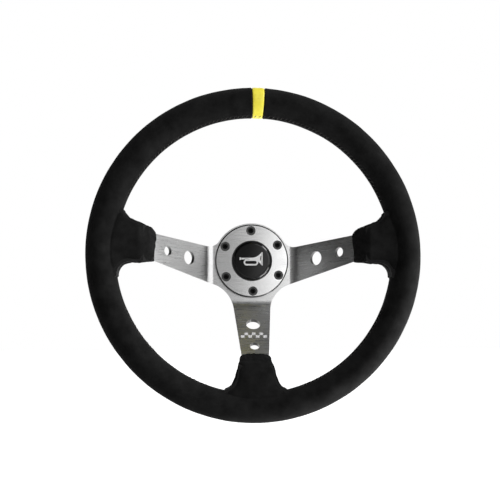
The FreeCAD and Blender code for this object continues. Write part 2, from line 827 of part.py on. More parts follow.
def make_contact_disc(doc):
    """Brass disc with a screwed stem for the column's horn wire."""
    body = new_body(doc, "contact_disc")
    revolve(
        body,
        "disc_turning",
        [
            (0, "stem_end"),
            ("stem_radius", "stem_end"),
            ("stem_radius", "disc_back"),
            ("disc_radius", "disc_back"),
            ("disc_radius", "disc_front"),
            (0, "disc_front"),
        ],
    )
    return body


def make_terminal_nut(doc):
    body = new_body(doc, "terminal_nut")
    sketch = sketch_on(body, "XY_Plane", "nut_profile", {"z": "nut_back"})
    draw_hexagon(sketch, "nut_corner")
    draw_circle(sketch, 0, 0, "screw_hole_radius", "thread")
    pad(body, "nut", sketch, "nut_thickness")
    return body


# Wheel half of the quick release -------------------------------------------------------------


def make_coupler_body(doc):
    """Flange behind the spoke plate and the splined sleeve that carries the balls."""
    body = new_body(doc, "coupler_body")
    revolve(
        body,
        "coupler_turning",
        [
            ("socket_root_radius", "sleeve_back"),
            ("sleeve_radius", "sleeve_back"),
            ("sleeve_radius", "circlip_groove_back"),
            ("circlip_groove_radius", "circlip_groove_back"),
            ("circlip_groove_radius", "circlip_groove_front"),
            ("sleeve_radius", "circlip_groove_front"),
            ("sleeve_radius", "coupler_flange_back"),
            ("coupler_chamfer_radius", "coupler_flange_back"),
            ("coupler_flange_radius", "coupler_chamfer_back"),
            ("coupler_flange_radius", "plate_back"),
            ("recess_radius", "plate_back"),
            ("recess_radius", "web_front"),
            ("bush_hole_radius", "web_front"),
            ("bush_hole_radius", "web_back"),
            ("pilot_radius", "web_back"),
            ("pilot_radius", "socket_end"),
            ("socket_root_radius", "socket_end"),
        ],
    )
    for name, half, count in (
        ("slot", "socket_half", SPLINES),
        ("master_slot", "socket_master_half", 1),
    ):
        sketch = sketch_on(body, "XY_Plane", f"{name}_profile")
        corners = [
            (f"-{half}", "socket_foot"),
            (half, "socket_foot"),
            (half, "socket_top_radius"),
            (f"-{half}", "socket_top_radius"),
        ]
        draw_outline(sketch, corners)
        slot = pocket(body, name, sketch, "socket_depth_length", reverse=True)
        if count > 1:
            pattern(body, f"{name}_ring", slot, count)
    doc.recompute()
    hole = turned_cut(
        body,
        "ball_hole",
        "XZ_Plane",
        [
            ("ball_hole_bottom", 0, "left", "ball_hole_radius"),
            ("ball_hole_top", 0),
            ("ball_hole_top", "ball_hole_radius"),
            ("ball_seat", "ball_hole_radius"),
        ],
        "H_Axis",
        {"y": "lock_station"},
    )
    pattern(body, "ball_holes", hole, BALLS)
    sketch = sketch_on(body, "XY_Plane", "thread_profile", {"z": "plate_back"})
    draw_circle(sketch, "screw_x", "screw_y", "screw_hole_radius", "thread")
    thread = pocket(body, "thread", sketch, "flange_thickness")
    pattern(body, "threads", thread, SCREWS)
    return body


def make_lock_ball(doc, index):
    """One of the steel balls, at its locked place in the sleeve."""
    name = f"lock_ball_{index + 1}"
    ball = doc.addObject("Part::Sphere", name)
    ball.Label = name
    bind(ball, Radius="ball_radius")
    angle = math.radians(index * FULL_TURN / BALLS)
    reach = SIZES["ball_centre"]
    centre = Vector(reach * math.cos(angle), reach * math.sin(angle), SIZES["lock_station"])
    ball.Placement = Placement(centre, Rotation())
    return ball


def make_release_collar(doc):
    """Pulled towards the driver; its inner cone lets the balls out as it comes."""
    body = new_body(doc, "release_collar")
    revolve(
        body,
        "collar_turning",
        [
            ("collar_bore_radius", "collar_front"),
            ("collar_bore_radius", "cam_front"),
            ("collar_cavity_radius", "cam_back"),
            ("collar_cavity_radius", "collar_back"),
            ("rear_chamfer_radius", "collar_back"),
            ("collar_rear_radius", "rear_chamfer_back"),
            ("collar_rear_radius", "collar_rear_end"),
            ("collar_waist_radius", "collar_waist_start", "right", "rear_arc_radius"),
            ("collar_waist_radius", "collar_waist_end"),
            ("collar_lip_radius", "collar_lip_start", "right", "lip_arc_radius"),
            ("collar_lip_radius", "lip_chamfer_front"),
            ("lip_chamfer_radius", "collar_front"),
            ("spring_pocket_outer", "collar_front"),
            ("spring_pocket_outer", "spring_pocket_floor"),
            ("spring_pocket_inner", "spring_pocket_floor"),
            ("spring_pocket_inner", "collar_front"),
        ],
    )
    sketch = sketch_on(body, "XY_Plane", "flute_profile", {"z": "collar_waist_end"})
    draw_circle(sketch, 0, "flute_circle", "flute_radius", "flute")
    flute = pocket(body, "flute", sketch, "collar_front", reverse=True)
    pattern(body, "flutes", flute, FLUTES)
    return body


def make_washer(doc, name, bore, rim, back, front):
    body = new_body(doc, name)
    revolve(body, f"{name}_turning", [(bore, back), (rim, back), (rim, front), (bore, front)])
    return body


def make_collar_circlip(doc):
    """An open ring in the sleeve's groove."""
    ring = doc.addObject("Part::Cylinder", "circlip_blank")
    bind(ring, Radius="circlip_radius", Height="circlip_thickness")
    ring.Angle = FULL_TURN - SIZES["circlip_gap_angle"]
    bore = doc.addObject("Part::Cylinder", "circlip_bore")
    bind(bore, Radius="circlip_bore_radius", Height="circlip_thickness")
    for piece in (ring, bore):
        piece.Placement = Placement(Vector(0, 0, SIZES["circlip_back"]), Rotation())
    clip = doc.addObject("Part::Cut", "collar_circlip")
    clip.Base = ring
    clip.Tool = bore
    clip.Label = "collar_circlip"
    return clip


def make_pin_bush(doc):
    """Insulating bush in the coupler's web, with a chamber for the pin's spring."""
    body = new_body(doc, "pin_bush")
    revolve(
        body,
        "bush_turning",
        [
            ("pin_hole_radius", "web_back"),
            ("bush_radius", "web_back"),
            ("bush_radius", "bush_head_back"),
            ("bush_head_radius", "bush_head_back"),
            ("bush_head_radius", "bush_head_front"),
            ("bush_chamber_radius", "bush_head_front"),
            ("bush_chamber_radius", "bush_floor"),
            ("pin_hole_radius", "bush_floor"),
        ],
    )
    return body


def make_contact_pin(doc):
    """Round-nosed brass pin that meets the column's contact disc."""
    body = new_body(doc, "contact_pin")
    revolve(
        body,
        "pin_turning",
        [
            (0, "pin_tip"),
            ("pin_radius", "pin_tip_side", "left", "pin_radius"),
            ("pin_radius", "pin_shoulder"),
            ("pin_shoulder_radius", "pin_shoulder"),
            ("pin_shoulder_radius", "pin_shoulder_front"),
            ("pin_tail_radius", "pin_shoulder_front"),
            ("pin_tail_radius", "pin_tail_end"),
            (0, "pin_tail_end"),
        ],
    )
    return body


# Horn button ---------------------------------------------------------------------------------


def make_horn_cup(doc):
    """Fixed housing, clamped behind the spoke plate by its flange."""
    body = new_body(doc, "horn_cup")
    revolve(
        body,
        "cup_turning",
        [
            ("cup_hole_radius", "cup_back"),
            ("cup_flange_radius", "cup_back"),
            ("cup_flange_radius", "cup_flange_front"),
            ("cup_radius", "cup_flange_front"),
            ("cup_radius", "cup_edge_front"),
            ("cup_edge_radius", "cup_front"),
            ("cup_edge_inner", "cup_front"),
            ("cup_lip_radius", "cup_edge_front"),
            ("cup_lip_radius", "cup_lip_back"),
            ("cup_bore_radius", "cup_lip_back"),
            ("cup_bore_radius", "cup_floor"),
            ("cup_hole_radius", "cup_floor"),
        ],
    )
    return body


def make_live_contact(doc):
    """Brass plate on the cup's floor; its boss reaches down to the pin's spring."""
    body = new_body(doc, "live_contact")
    revolve(
        body,
        "live_turning",
        [
            (0, "live_boss_back"),
            ("live_boss_radius", "live_boss_back"),
            ("live_boss_radius", "live_back"),
            ("live_radius", "live_back"),
            ("live_radius", "live_front"),
            (0, "live_front"),
        ],
    )
    return body


def make_moving_contact(doc):
    """Brass plate under the cap, with a stem that closes on the live contact."""
    body = new_body(doc, "moving_contact")
    revolve(
        body,
        "moving_turning",
        [
            (0, "moving_back"),
            ("moving_stem_radius", "moving_back"),
            ("moving_stem_radius", "moving_disc_back"),
            ("moving_radius", "moving_disc_back"),
            ("moving_radius", "moving_disc_front"),
            (0, "moving_disc_front"),
        ],
    )
    return body


def make_horn_cap(doc):
    """Push cap, kept in the cup by the flange at its skirt's end."""
    body = new_body(doc, "horn_cap")
    revolve(
        body,
        "cap_turning",
        [
            (0, "cap_roof"),
            ("cap_inner_radius", "cap_roof"),
            ("cap_inner_radius", "cap_back"),
            ("cap_flange_radius", "cap_back"),
            ("cap_flange_radius", "cap_flange_front"),
            ("cap_skirt_radius", "cap_flange_front"),
            ("cap_skirt_radius", "cap_shoulder"),
            ("emblem_recess_radius", "cap_front", "left", "cap_bevel_radius"),
            ("emblem_recess_radius", "emblem_back"),
            (0, "emblem_back"),
        ],
    )
    return body


def make_emblem_disc(doc):
    """Slightly domed disc set flush into the cap."""
    body = new_body(doc, "emblem_disc")
    revolve(
        body,
        "emblem_turning",
        [
            (0, "emblem_back"),
            ("emblem_radius", "emblem_back"),
            ("emblem_radius", "cap_front"),
            (0, "emblem_crown", "left", "emblem_dome_radius"),
        ],
    )
    return body


# Clamp ring, screws and spoke plate ----------------------------------------------------------


def make_horn_ring(doc):
    """Clamp ring in front of the spoke plate, countersunk for the six screws."""
    body = new_body(doc, "horn_ring")
    revolve(
        body,
        "ring_turning",
        [
            ("ring_hole_radius", "plate_front"),
            ("ring_radius", "plate_front"),
            ("ring_radius", "ring_edge_front"),
            ("ring_edge_radius", "ring_front"),
            ("ring_hole_radius", "ring_front"),
        ],
    )
    hole = turned_cut(
        body,
        "sink",
        "YZ_Plane",
        [
            (0, "plate_front"),
            ("screw_clear_radius", "plate_front"),
            ("screw_clear_radius", "ring_sink_start"),
            ("screw_sink_radius", "ring_front"),
            (0, "ring_front"),
        ],
        "V_Axis",
        {"x": "bolt_circle_radius"},
    )
    pattern(body, "sinks", hole, SCREWS)
    return body


def make_ring_bolts(doc):
    """The six M5 countersunk screws, one solid each."""
    body = new_body(doc, "ring_bolts")
    sketch = sketch_on(body, "YZ_Plane", "screw_profile", {"x": "bolt_circle_radius"})
    corners = [
        (0, "screw_end"),
        ("screw_radius", "screw_end"),
        ("screw_radius", "screw_neck"),
        ("screw_head_radius", "screw_top"),
        (0, "screw_top"),
    ]
    draw_outline(sketch, corners)
    screw = body.newObject("PartDesign::Revolution", "screw")
    screw.Profile = sketch
    screw.ReferenceAxis = (sketch, ["V_Axis"])
    screw.Angle = FULL_TURN
    body.Tip = screw
    doc.recompute()
    offset = {"y": "bolt_circle_radius", "z": "screw_top"}
    sketch = sketch_on(body, "XY_Plane", "socket_profile", offset)
    draw_hexagon(sketch, "socket_corner", turn=15.0)
    socket = pocket(body, "socket", sketch, "socket_depth")
    doc.recompute()
    repeat = pattern(body, "screws", screw, SCREWS)
    repeat.Originals = [screw, socket]
    return body


def strip_outline(name, sign):
    """Side view of one spoke from the steering axis out to its end."""
    return [
        (0, f"{name}_back_hub"),
        (f"{sign}bend_start", f"{name}_back_hub"),
        (f"{sign}{name}_back_x1", f"{name}_back_z1", "left", f"{name}_back_near"),
        (f"{sign}{name}_back_x2", f"{name}_back_z2"),
        (f"{sign}spoke_flat", f"{name}_back_rim", "right", f"{name}_back_far"),
        (f"{sign}spoke_end", f"{name}_back_rim"),
        (f"{sign}spoke_end", f"{name}_front_rim"),
        (f"{sign}spoke_flat", f"{name}_front_rim"),
        (f"{sign}{name}_front_x2", f"{name}_front_z2", "left", f"{name}_front_far"),
        (f"{sign}{name}_front_x1", f"{name}_front_z1"),
        (f"{sign}bend_start", f"{name}_front_hub", "right", f"{name}_front_near"),
        (0, f"{name}_front_hub"),
    ]


def turned_over(corners):
    """The same outline with its arcs' turns exchanged, for a mirrored set of corners."""
    other = {"left": "right", "right": "left"}
    return [c if len(c) == 2 else (c[0], c[1], other[c[2]], c[3]) for c in corners]


def plate_outline():
    """The plate seen along the steering axis, round from the right spoke's lower corner."""
    right = [
        ("spoke_end", "-spoke_tip_bottom"),
        ("spoke_end", "spoke_tip_top"),
        ("spoke_tip", "spoke_tip_top"),
        ("upper_spoke_x", "upper_spoke_y"),
        ("upper_hub_x", "upper_hub_y", "right", "upper_fillet"),
    ]
    top = [("-upper_hub_x", "upper_hub_y", "left", "hub_radius")]
    left = [
        ("-upper_spoke_x", "upper_spoke_y", "right", "upper_fillet"),
        ("-spoke_tip", "spoke_tip_top"),
        ("-spoke_end", "spoke_tip_top"),
        ("-spoke_end", "-spoke_tip_bottom"),
        ("-spoke_tip", "-spoke_tip_bottom"),
        ("-lower_side_x", "-lower_side_y"),
        ("-lower_edge_x", "-lower_edge_y", "right", "lower_fillet"),
    ]
    bottom = [
        ("-lower_tip_half", "-spoke_tip"),
        ("-lower_tip_half", "-spoke_end"),
        ("lower_tip_half", "-spoke_end"),
        ("lower_tip_half", "-spoke_tip"),
        ("lower_edge_x", "-lower_edge_y"),
        ("lower_side_x", "-lower_side_y", "right", "lower_fillet"),
        ("spoke_tip", "-spoke_tip_bottom"),
    ]
    return right + top + left + bottom


def sloping_holes(body, name, turn_axis, base, centres):
    """Two holes square to a sloping spoke. base is the sketch's origin on that spoke."""
    sketch = sketch_on(body, "XY_Plane", f"{name}_profile")
    sketch.AttachmentOffset = Placement(Vector(0, 0, 0), Rotation(turn_axis, 1))
    for axis, size in base.items():
        sketch.setExpression(f"AttachmentOffset.Base.{axis}", formula_of(size))
    sketch.setExpression("AttachmentOffset.Rotation.Angle", "Sizes.spoke_angle")
    for radius, x, y in centres:
        draw_circle(sketch, x, y, radius, radius.split("_")[0])
    feature = body.newObject("PartDesign::Pocket", name)
    feature.Profile = sketch
    feature.Midplane = True
    bind(feature, Length="bend_start")
    body.Tip = feature
    body.Document.recompute()
    return feature


def make_spoke_plate(doc):
    """One plate, bent twice along each spoke, then cut to its outline and drilled."""
    body = new_body(doc, "spoke_plate")
    sketch = sketch_on(body, "XZ_Plane", "side_spoke_profile", {"z": "-hub_radius"})
    draw_outline(sketch, strip_outline("strip", ""))
    side = pad(body, "side_spoke", sketch, "side_strip_width")
    mirror(body, "other_side_spoke", side)
    doc.recompute()
    sketch = sketch_on(body, "YZ_Plane", "lower_spoke_profile")
    draw_outline(sketch, turned_over(strip_outline("strip", "-")))
    pad(body, "lower_spoke", sketch, "lower_strip_width", midplane=True)
    doc.recompute()
    sketch = sketch_on(body, "XY_Plane", "outline_profile")
    near, far = "-rim_radius", "rim_radius"
    blank = [(near, near), (far, near), (far, far), (near, far)]
    draw_outline(sketch, blank, prefix="blank")
    draw_outline(sketch, plate_outline(), prefix="edge")
    pocket(body, "outline", sketch)
    doc.recompute()
    sketch = sketch_on(body, "XY_Plane", "centre_hole_profile")
    draw_circle(sketch, 0, 0, "plate_hole_radius", "centre")
    pocket(body, "centre_hole", sketch)
    sketch = sketch_on(body, "XY_Plane", "plate_screw_profile")
    draw_circle(sketch, "screw_x", "screw_y", "screw_clear_radius", "screw")
    screw_hole = pocket(body, "plate_screw_hole", sketch)
    pattern(body, "plate_screw_holes", screw_hole, SCREWS)
    doc.recompute()
    sketch = sketch_on(body, "XY_Plane", "rivet_profile")
    for name, x, y in rivet_places():
        draw_circle(sketch, x, y, "rivet_hole_radius", name)
    pocket(body, "rivet_holes", sketch)
    doc.recompute()
    side_holes = sloping_holes(
        body,
        "side_holes",
        Vector(0, -1, 0),
        {"x": "slope_x", "z": "slope_z"},
        [
            ("large_hole_radius", "side_large_x_along", "side_large_y"),
            ("small_hole_radius", "side_small_x_along", "side_small_y"),
        ],
    )
    mirror(body, "other_side_holes", side_holes)
    sloping_holes(
        body,
        "lower_holes",
        Vector(-1, 0, 0),
        {"y": "-slope_x", "z": "slope_z"},
        [
            ("large_hole_radius", 0, "-lower_large_y_along"),
            ("small_hole_radius", 0, "-lower_small_y_along"),
        ],
    )
    return body


def rivet_places():
    """Two rivets through the end of each spoke."""
    return [
        ("right_inner", "inner_rivet", "side_tab_y"),
        ("right_outer", "outer_rivet", "side_tab_y"),
        ("left_inner", "-inner_rivet", "side_tab_y"),
        ("left_outer", "-outer_rivet", "side_tab_y"),
        ("lower_inner", 0, "-inner_rivet"),
        ("lower_outer", 0, "-outer_rivet"),
    ]


# Rim -----------------------------------------------------------------------------------------


def tab_spans():
    """Left, right, bottom and top of the three tabs, seen along the axis."""
    return {
        "right": ("tab_start", "tab_end", "side_tab_bottom", "side_tab_top"),
        "left": ("-tab_end", "-tab_start", "side_tab_bottom", "side_tab_top"),
        "lower": ("-tab_half", "tab_half", "-tab_end", "-tab_start"),
    }


def make_rim_frame(doc):
    """Welded steel frame: a tube ring and three tabs for the spoke ends."""
    body = new_body(doc, "rim_frame")
    sketch = sketch_on(body, "XZ_Plane", "tube_profile")
    draw_circle(sketch, "rim_centre_radius", "rim_plane", "tube_radius", "tube")
    draw_circle(sketch, "rim_centre_radius", "rim_plane", "tube_bore", "bore")
    tube = body.newObject("PartDesign::Revolution", "tube_ring")
    tube.Profile = sketch
    tube.ReferenceAxis = (sketch, ["V_Axis"])
    tube.Angle = FULL_TURN
    body.Tip = tube
    doc.recompute()
    sketch = sketch_on(body, "XY_Plane", "tab_profile", {"z": "tab_back"})
    for name, (left, right, low, high) in tab_spans().items():
        corners = [(left, low), (right, low), (right, high), (left, high)]
        draw_outline(sketch, corners, prefix=name)
    pad(body, "tabs", sketch, "tab_thickness")
    doc.recompute()
    sketch = sketch_on(body, "XY_Plane", "tab_hole_profile")
    for name, x, y in rivet_places():
        draw_circle(sketch, x, y, "rivet_hole_radius", name)
    pocket(body, "tab_holes", sketch)
    return body


def make_spoke_rivets(doc):
    """Six rivets, one solid each, headed on both sides."""
    body = new_body(doc, "spoke_rivets")
    for name, radius, bottom, length in (
        ("shanks", "rivet_radius", "tab_back", "rivet_grip"),
        ("front_heads", "rivet_head_radius", "rivet_top", "rivet_head"),
        ("rear_heads", "rivet_head_radius", "rivet_head_bottom", "rivet_head"),
    ):
        sketch = sketch_on(body, "XY_Plane", f"{name}_profile", {"z": bottom})
        for place, x, y in rivet_places():
            draw_circle(sketch, x, y, radius, place)
        pad(body, name, sketch, length)
        doc.recompute()
    return body


def torus(doc, name, section, angle=None, start=None):
    """A ring about the steering axis in the rim's plane, or part of one from a start angle."""
    ring = doc.addObject("Part::Torus", name)
    ring.Angle3 = FULL_TURN
    ring.Placement = Placement(Vector(0, 0, 0), Rotation(Vector(0, 0, 1), 1))
    bind(ring, Radius1="rim_centre_radius", Radius2=section)
    ring.setExpression("Placement.Base.z", "Sizes.rim_plane")
    if angle is not None:
        bind(ring, Angle3=angle)
        ring.setExpression("Placement.Rotation.Angle", formula_of(start))
    return ring


def plane_sketch(doc, name, rotation, corners):
    """A free sketch turned into the XZ, YZ or XY plane."""
    sketch = doc.addObject("Sketcher::SketchObject", name)
    sketch.Placement = Placement(Vector(0, 0, 0), rotation)
    draw_outline(sketch, corners)
    return sketch


XY_TURN = Rotation()
XZ_TURN = Rotation(Vector(1, 0, 0), 90)
YZ_TURN = Rotation(Vector(1, 1, 1), 120)


def extrude(doc, name, sketch, direction):
    """A prism through the sketch, FAR long and centred on its plane."""
    solid = doc.addObject("Part::Extrusion", name)
    solid.Base = sketch
    solid.DirMode = "Custom"
    solid.Dir = direction
    solid.LengthFwd = FAR
    solid.Symmetric = True
    solid.Solid = True
    return solid


def common(doc, name, pieces):
    solid = doc.addObject("Part::MultiCommon", name)
    solid.Shapes = pieces
    return solid


def fuse(doc, name, pieces):
    solid = doc.addObject("Part::MultiFuse", name)
    solid.Shapes = pieces
    solid.Refine = True
    return solid


def cut(doc, name, base, tool):
    solid = doc.addObject("Part::Cut", name)
    solid.Base = base
    solid.Tool = tool
    return solid


def paddle_side(name, sign):
    """A paddle's side view: square to the spoke at its end, level where it joins the rim."""
    return [
        (f"{sign}{name}_back_edge_x", f"{name}_back_edge_z"),
        (f"{sign}{name}_back_knee_x", f"{name}_back_knee_z"),
        (f"{sign}{name}_root", f"{name}_back_root_z"),
        (f"{sign}{name}_root", f"{name}_front_root_z"),
        (f"{sign}{name}_front_knee_x", f"{name}_front_knee_z"),
        (f"{sign}{name}_front_edge_x", f"{name}_front_edge_z"),
    ]


def side_paddle_plan(name, sign):
    """A side paddle seen along the axis, flaring into the rim above and below the spoke."""
    return [
        (f"{sign}{name}_start", f"-{name}_down_start_y"),
        (f"{sign}{name}_down_mid_x", f"-{name}_down_mid_y"),
        (f"{sign}{name}_down_rim_x", f"-{name}_down_rim_y", "right", "paddle_small_arc"),
        (f"{sign}{name}_root", f"-{name}_down_root_y"),
        (f"{sign}{name}_root", f"{name}_up_root_y"),
        (f"{sign}{name}_up_rim_x", f"{name}_up_rim_y"),
        (f"{sign}{name}_up_mid_x", f"{name}_up_mid_y", "right", "paddle_arc"),
        (f"{sign}{name}_up_bump_x", f"{name}_up_bump_y"),
        (f"{sign}{name}_start", f"{name}_up_start_y"),
    ]


def lower_paddle_plan(name):
    """The lower paddle seen along the axis, alike on both sides."""
    right = [
        (f"{name}_low_start_x", f"-{name}_start"),
        (f"{name}_low_bump_x", f"-{name}_low_bump_y"),
        (f"{name}_low_mid_x", f"-{name}_low_mid_y"),
        (f"{name}_low_rim_x", f"-{name}_low_rim_y", "left", "paddle_arc"),
        (f"{name}_low_root_x", f"-{name}_root"),
    ]
    left = [
        (f"-{name}_low_root_x", f"-{name}_root"),
        (f"-{name}_low_rim_x", f"-{name}_low_rim_y"),
        (f"-{name}_low_mid_x", f"-{name}_low_mid_y", "left", "paddle_arc"),
        (f"-{name}_low_bump_x", f"-{name}_low_bump_y"),
        (f"-{name}_low_start_x", f"-{name}_start"),
    ]
    return right + left


def paddles(doc, name):
    """The three paddles of one envelope, each its side view and its plan in common."""
    made = []
    up = Vector(0, 0, 1)
    for place, sign in (("right", ""), ("left", "-")):
        corners = paddle_side(name, sign)
        plan = side_paddle_plan(name, sign)
        if sign:
            plan = turned_over(plan)
        side = plane_sketch(doc, f"{name}_{place}_side", XZ_TURN, corners)
        top = plane_sketch(doc, f"{name}_{place}_plan", XY_TURN, plan)
        bar = extrude(doc, f"{name}_{place}_bar", side, Vector(0, 1, 0))
        prism = extrude(doc, f"{name}_{place}_prism", top, up)
        made.append(common(doc, f"{name}_{place}_paddle", [bar, prism]))
    side = plane_sketch(doc, f"{name}_lower_side", YZ_TURN, paddle_side(name, "-"))
    top = plane_sketch(doc, f"{name}_lower_plan", XY_TURN, lower_paddle_plan(name))
    bar = extrude(doc, f"{name}_lower_bar", side, Vector(1, 0, 0))
    prism = extrude(doc, f"{name}_lower_prism", top, up)
    made.append(common(doc, f"{name}_lower_paddle", [bar, prism]))
    return made


def slot_block(doc):
    """What foam and suede leave free for the frame's tabs, the rivets and the spoke ends."""
    blocks = []
    up = Vector(0, 0, 1)
    for place, sign, rotation, width in (
        ("right", "", XZ_TURN, Vector(0, 1, 0)),
        ("left", "-", XZ_TURN, Vector(0, 1, 0)),
        ("lower", "-", YZ_TURN, Vector(1, 0, 0)),
    ):
        corners = strip_outline("slot", sign)
        if sign:
            corners = turned_over(corners)
        side = plane_sketch(doc, f"slot_{place}_side", rotation, corners)
        strip = extrude(doc, f"slot_{place}_strip", side, width)
        plan = plane_sketch(doc, f"slot_{place}_plan", XY_TURN, slot_plan(place))
        prism = extrude(doc, f"slot_{place}_prism", plan, up)
        blocks.append(common(doc, f"slot_{place}", [strip, prism]))
    return blocks


def slot_plan(place):
    """The slot for a spoke's end seen along the axis."""
    if place == "lower":
        return [
            ("-slot_half", "-tab_end"),
            ("slot_half", "-tab_end"),
            ("slot_half", "-spoke_tip"),
            ("slot_start_half", "-slot_start"),
            ("-slot_start_half", "-slot_start"),
            ("-slot_half", "-spoke_tip"),
        ]
    sign = "-" if place == "left" else ""
    return [
        (f"{sign}slot_start", "-slot_start_bottom"),
        (f"{sign}spoke_tip", "-slot_bottom"),
        (f"{sign}tab_end", "-slot_bottom"),
        (f"{sign}tab_end", "slot_top"),
        (f"{sign}spoke_tip", "slot_top"),
        (f"{sign}slot_start", "slot_start_top"),
    ]


def tab_block(doc):
    """Clearance for the frame's tabs and the rivet heads on both sides of the spoke ends."""
    blocks = []
    gap = "Sizes.core_gap"
    for place, (left, right, low, high) in tab_spans().items():
        box = doc.addObject("Part::Box", f"tab_{place}_clearance")
        for prop, first, last in (
            ("Length", left, right),
            ("Width", low, high),
            ("Height", "rivet_head_bottom", "rivet_head_top"),
        ):
            span = f"{formula_of(last)} - ({formula_of(first)}) + 2 * {gap}"
            box.setExpression(prop, span)
        for axis, first in (("x", left), ("y", low), ("z", "rivet_head_bottom")):
            box.setExpression(f"Placement.Base.{axis}", f"{formula_of(first)} - {gap}")
        blocks.append(box)
    return blocks


def make_grip(doc):
    """Foam and suede: one envelope at three depths, with room left for what is inside."""
    slots = slot_block(doc)
    tube = torus(doc, "frame_clearance", "frame_clear_radius")
    inside = fuse(doc, "frame_space", [tube] + tab_block(doc) + slots)
    foam = cut(
        doc,
        "foam_grip",
        fuse(doc, "foam_blank", [torus(doc, "foam_ring", "foam_section")] + paddles(doc, "foam")),
        inside,
    )
    foam.Label = "foam_grip"
    outer_ring = torus(doc, "outer_ring", "outer_section", "suede_angle", "suede_start")
    outer = fuse(doc, "outer_blank", [outer_ring] + paddles(doc, "outer"))
    inner_ring = torus(doc, "inner_ring", "inner_section")
    inner = fuse(doc, "inner_blank", [inner_ring] + paddles(doc, "inner") + slots)
    suede = cut(doc, "suede_cover", outer, inner)
    suede.Label = "suede_cover"
    return [foam, suede]


def make_centre_marker(doc):
    """Yellow band round the rim's top, flush with the suede."""
    span = ("marker_angle", "marker_start")
    outside = torus(doc, "marker_outside", "outer_section", *span)
    inside = torus(doc, "marker_inside", "inner_section", *span)
    marker = cut(doc, "centre_marker", outside, inside)
    marker.Label = "centre_marker"
    return marker


# Assembly ------------------------------------------------------------------------------------


def make_all(doc):
    """Every sub-part, in the frame of the steering axis."""
    parts = [
        make_column_hub(doc),
        make_contact_insulator(doc),
        make_contact_disc(doc),
        make_terminal_nut(doc),
        make_coupler_body(doc),
        make_release_collar(doc),
        make_washer(
            doc, "stop_washer", "washer_bore_radius", "washer_radius", "washer_back", "washer_front"
        ),
        make_collar_circlip(doc),
        make_pin_bush(doc),
        make_contact_pin(doc),
        make_horn_cup(doc),
        make_live_contact(doc),
        make_moving_contact(doc),
        make_horn_cap(doc),
        make_emblem_disc(doc),
        make_horn_ring(doc),
        make_ring_bolts(doc),
        make_spoke_plate(doc),
        make_rim_frame(doc),
        make_spoke_rivets(doc),
        make_centre_marker(doc),
    ]
    parts += [make_lock_ball(doc, index) for index in range(BALLS)]
    parts += make_grip(doc)
    parts.append(
        coil(
            doc,
            "collar_spring",
            "spring_mean_radius",
            "spring_wire",
            "spring_pocket_floor",
            "coupler_flange_back",
            COLLAR_SPRING_TURNS,
        )
    )
    parts.append(
        coil(
            doc,
            "horn_spring",
            "horn_spring_radius",
            "horn_wire",
            "cup_floor",
            "cap_roof",
            HORN_SPRING_TURNS,
        )
    )
    parts.append(
        coil(
            doc,
            "pin_spring",
            "pin_spring_radius",
            "pin_wire",
            "pin_shoulder_front",
            "live_boss_back",
            PIN_SPRING_TURNS,
        )
    )
    return parts


def place(parts):
    """Turns each piece from the steering axis's frame into the row's."""
    clocked = Placement(Vector(0, 0, 0), Rotation(Vector(0, 0, 1), SIZES["bolt_clocking"]))
    for part in parts:
        own = clocked if part.Label in ("horn_ring", "ring_bolts") else Placement()
        part.Placement = TURN_TO_ROW * own * part.Placement


def check(doc, parts):
    """Stops before anything is written if a feature failed or a shape is not sound."""
    for obj in doc.Objects:
        if "Invalid" in obj.State or "Error" in obj.State:
            raise RuntimeError(f"{obj.Label} did not recompute")
    for part in parts:
        if part.Shape.isNull() or not part.Shape.isValid():
            raise RuntimeError(f"{part.Label} has no valid shape")


def main():
    work_out_sizes(SIZES)
    doc = FreeCAD.newDocument("quick_release_steering_wheel")
    fill_sheet(doc)
    parts = make_all(doc)
    doc.recompute()
    place(parts)
    doc.recompute()
    check(doc, parts)
    os.makedirs("parts", exist_ok=True)
    for part in parts:
        part.Shape.exportStep(f"parts/{part.Label}.step")
        print(f"{part.Label}: {len(part.Shape.Solids)} solid(s), {part.Shape.Volume:.1f} mm3")


main()
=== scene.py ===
import math

import bpy
import numpy as np
from mathutils import Matrix, Vector
from mathutils.noise import noise as perlin


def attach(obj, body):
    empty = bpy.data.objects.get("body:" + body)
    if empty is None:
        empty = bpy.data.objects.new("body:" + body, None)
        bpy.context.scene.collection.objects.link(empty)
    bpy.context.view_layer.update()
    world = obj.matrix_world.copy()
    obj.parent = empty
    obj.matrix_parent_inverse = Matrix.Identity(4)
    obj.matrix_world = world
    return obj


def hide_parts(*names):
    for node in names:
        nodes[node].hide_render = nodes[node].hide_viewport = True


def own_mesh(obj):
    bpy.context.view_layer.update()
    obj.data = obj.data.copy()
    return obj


# Looks of the steering wheel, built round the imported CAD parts. Metres, in the row's frame:
# +X to the driver's right, -Y towards the driver, +Z up.

MM = 0.001

# Wheel, in millimetres and radians. A station is a distance from the hub's mounting face.
RIM_PLANE = 119.5
RIM_RADIUS = 159.7
GRIP_RADIUS = 15.3
SPOKE_ANGLE = math.radians(47.0)
BEND_START = 44.5
BEND_RADIUS = 12.0
PLATE_MIDDLE = 47.0
PLATE_HALF = 2.0
MARKER_TURN = math.radians(0.76)
MARKER_HALF = math.radians(2.08)
GROOVE_HALF = math.radians(2.42)
MARKER_SEED = 11
VOXEL = 0.85
SEAM_SECTION = math.radians(168)
STITCH_STEP = 4.4
SCREW_CLOCKING = math.radians(1.9)
SCREW_CIRCLE = 0.035
# Radii in metres where the painted shadow in each screw socket ends and where it has faded out.
SOCKET_SHADOW_EDGE = (0.0027, 0.0036)

# Lean of a normal towards the driver's side where the painted shade of a turned or a cut edge
# begins and ends.
EDGE_SHADE_LIMITS = (0.72, 0.8)
CUT_SHADE_LIMITS = (0.3, 0.5)

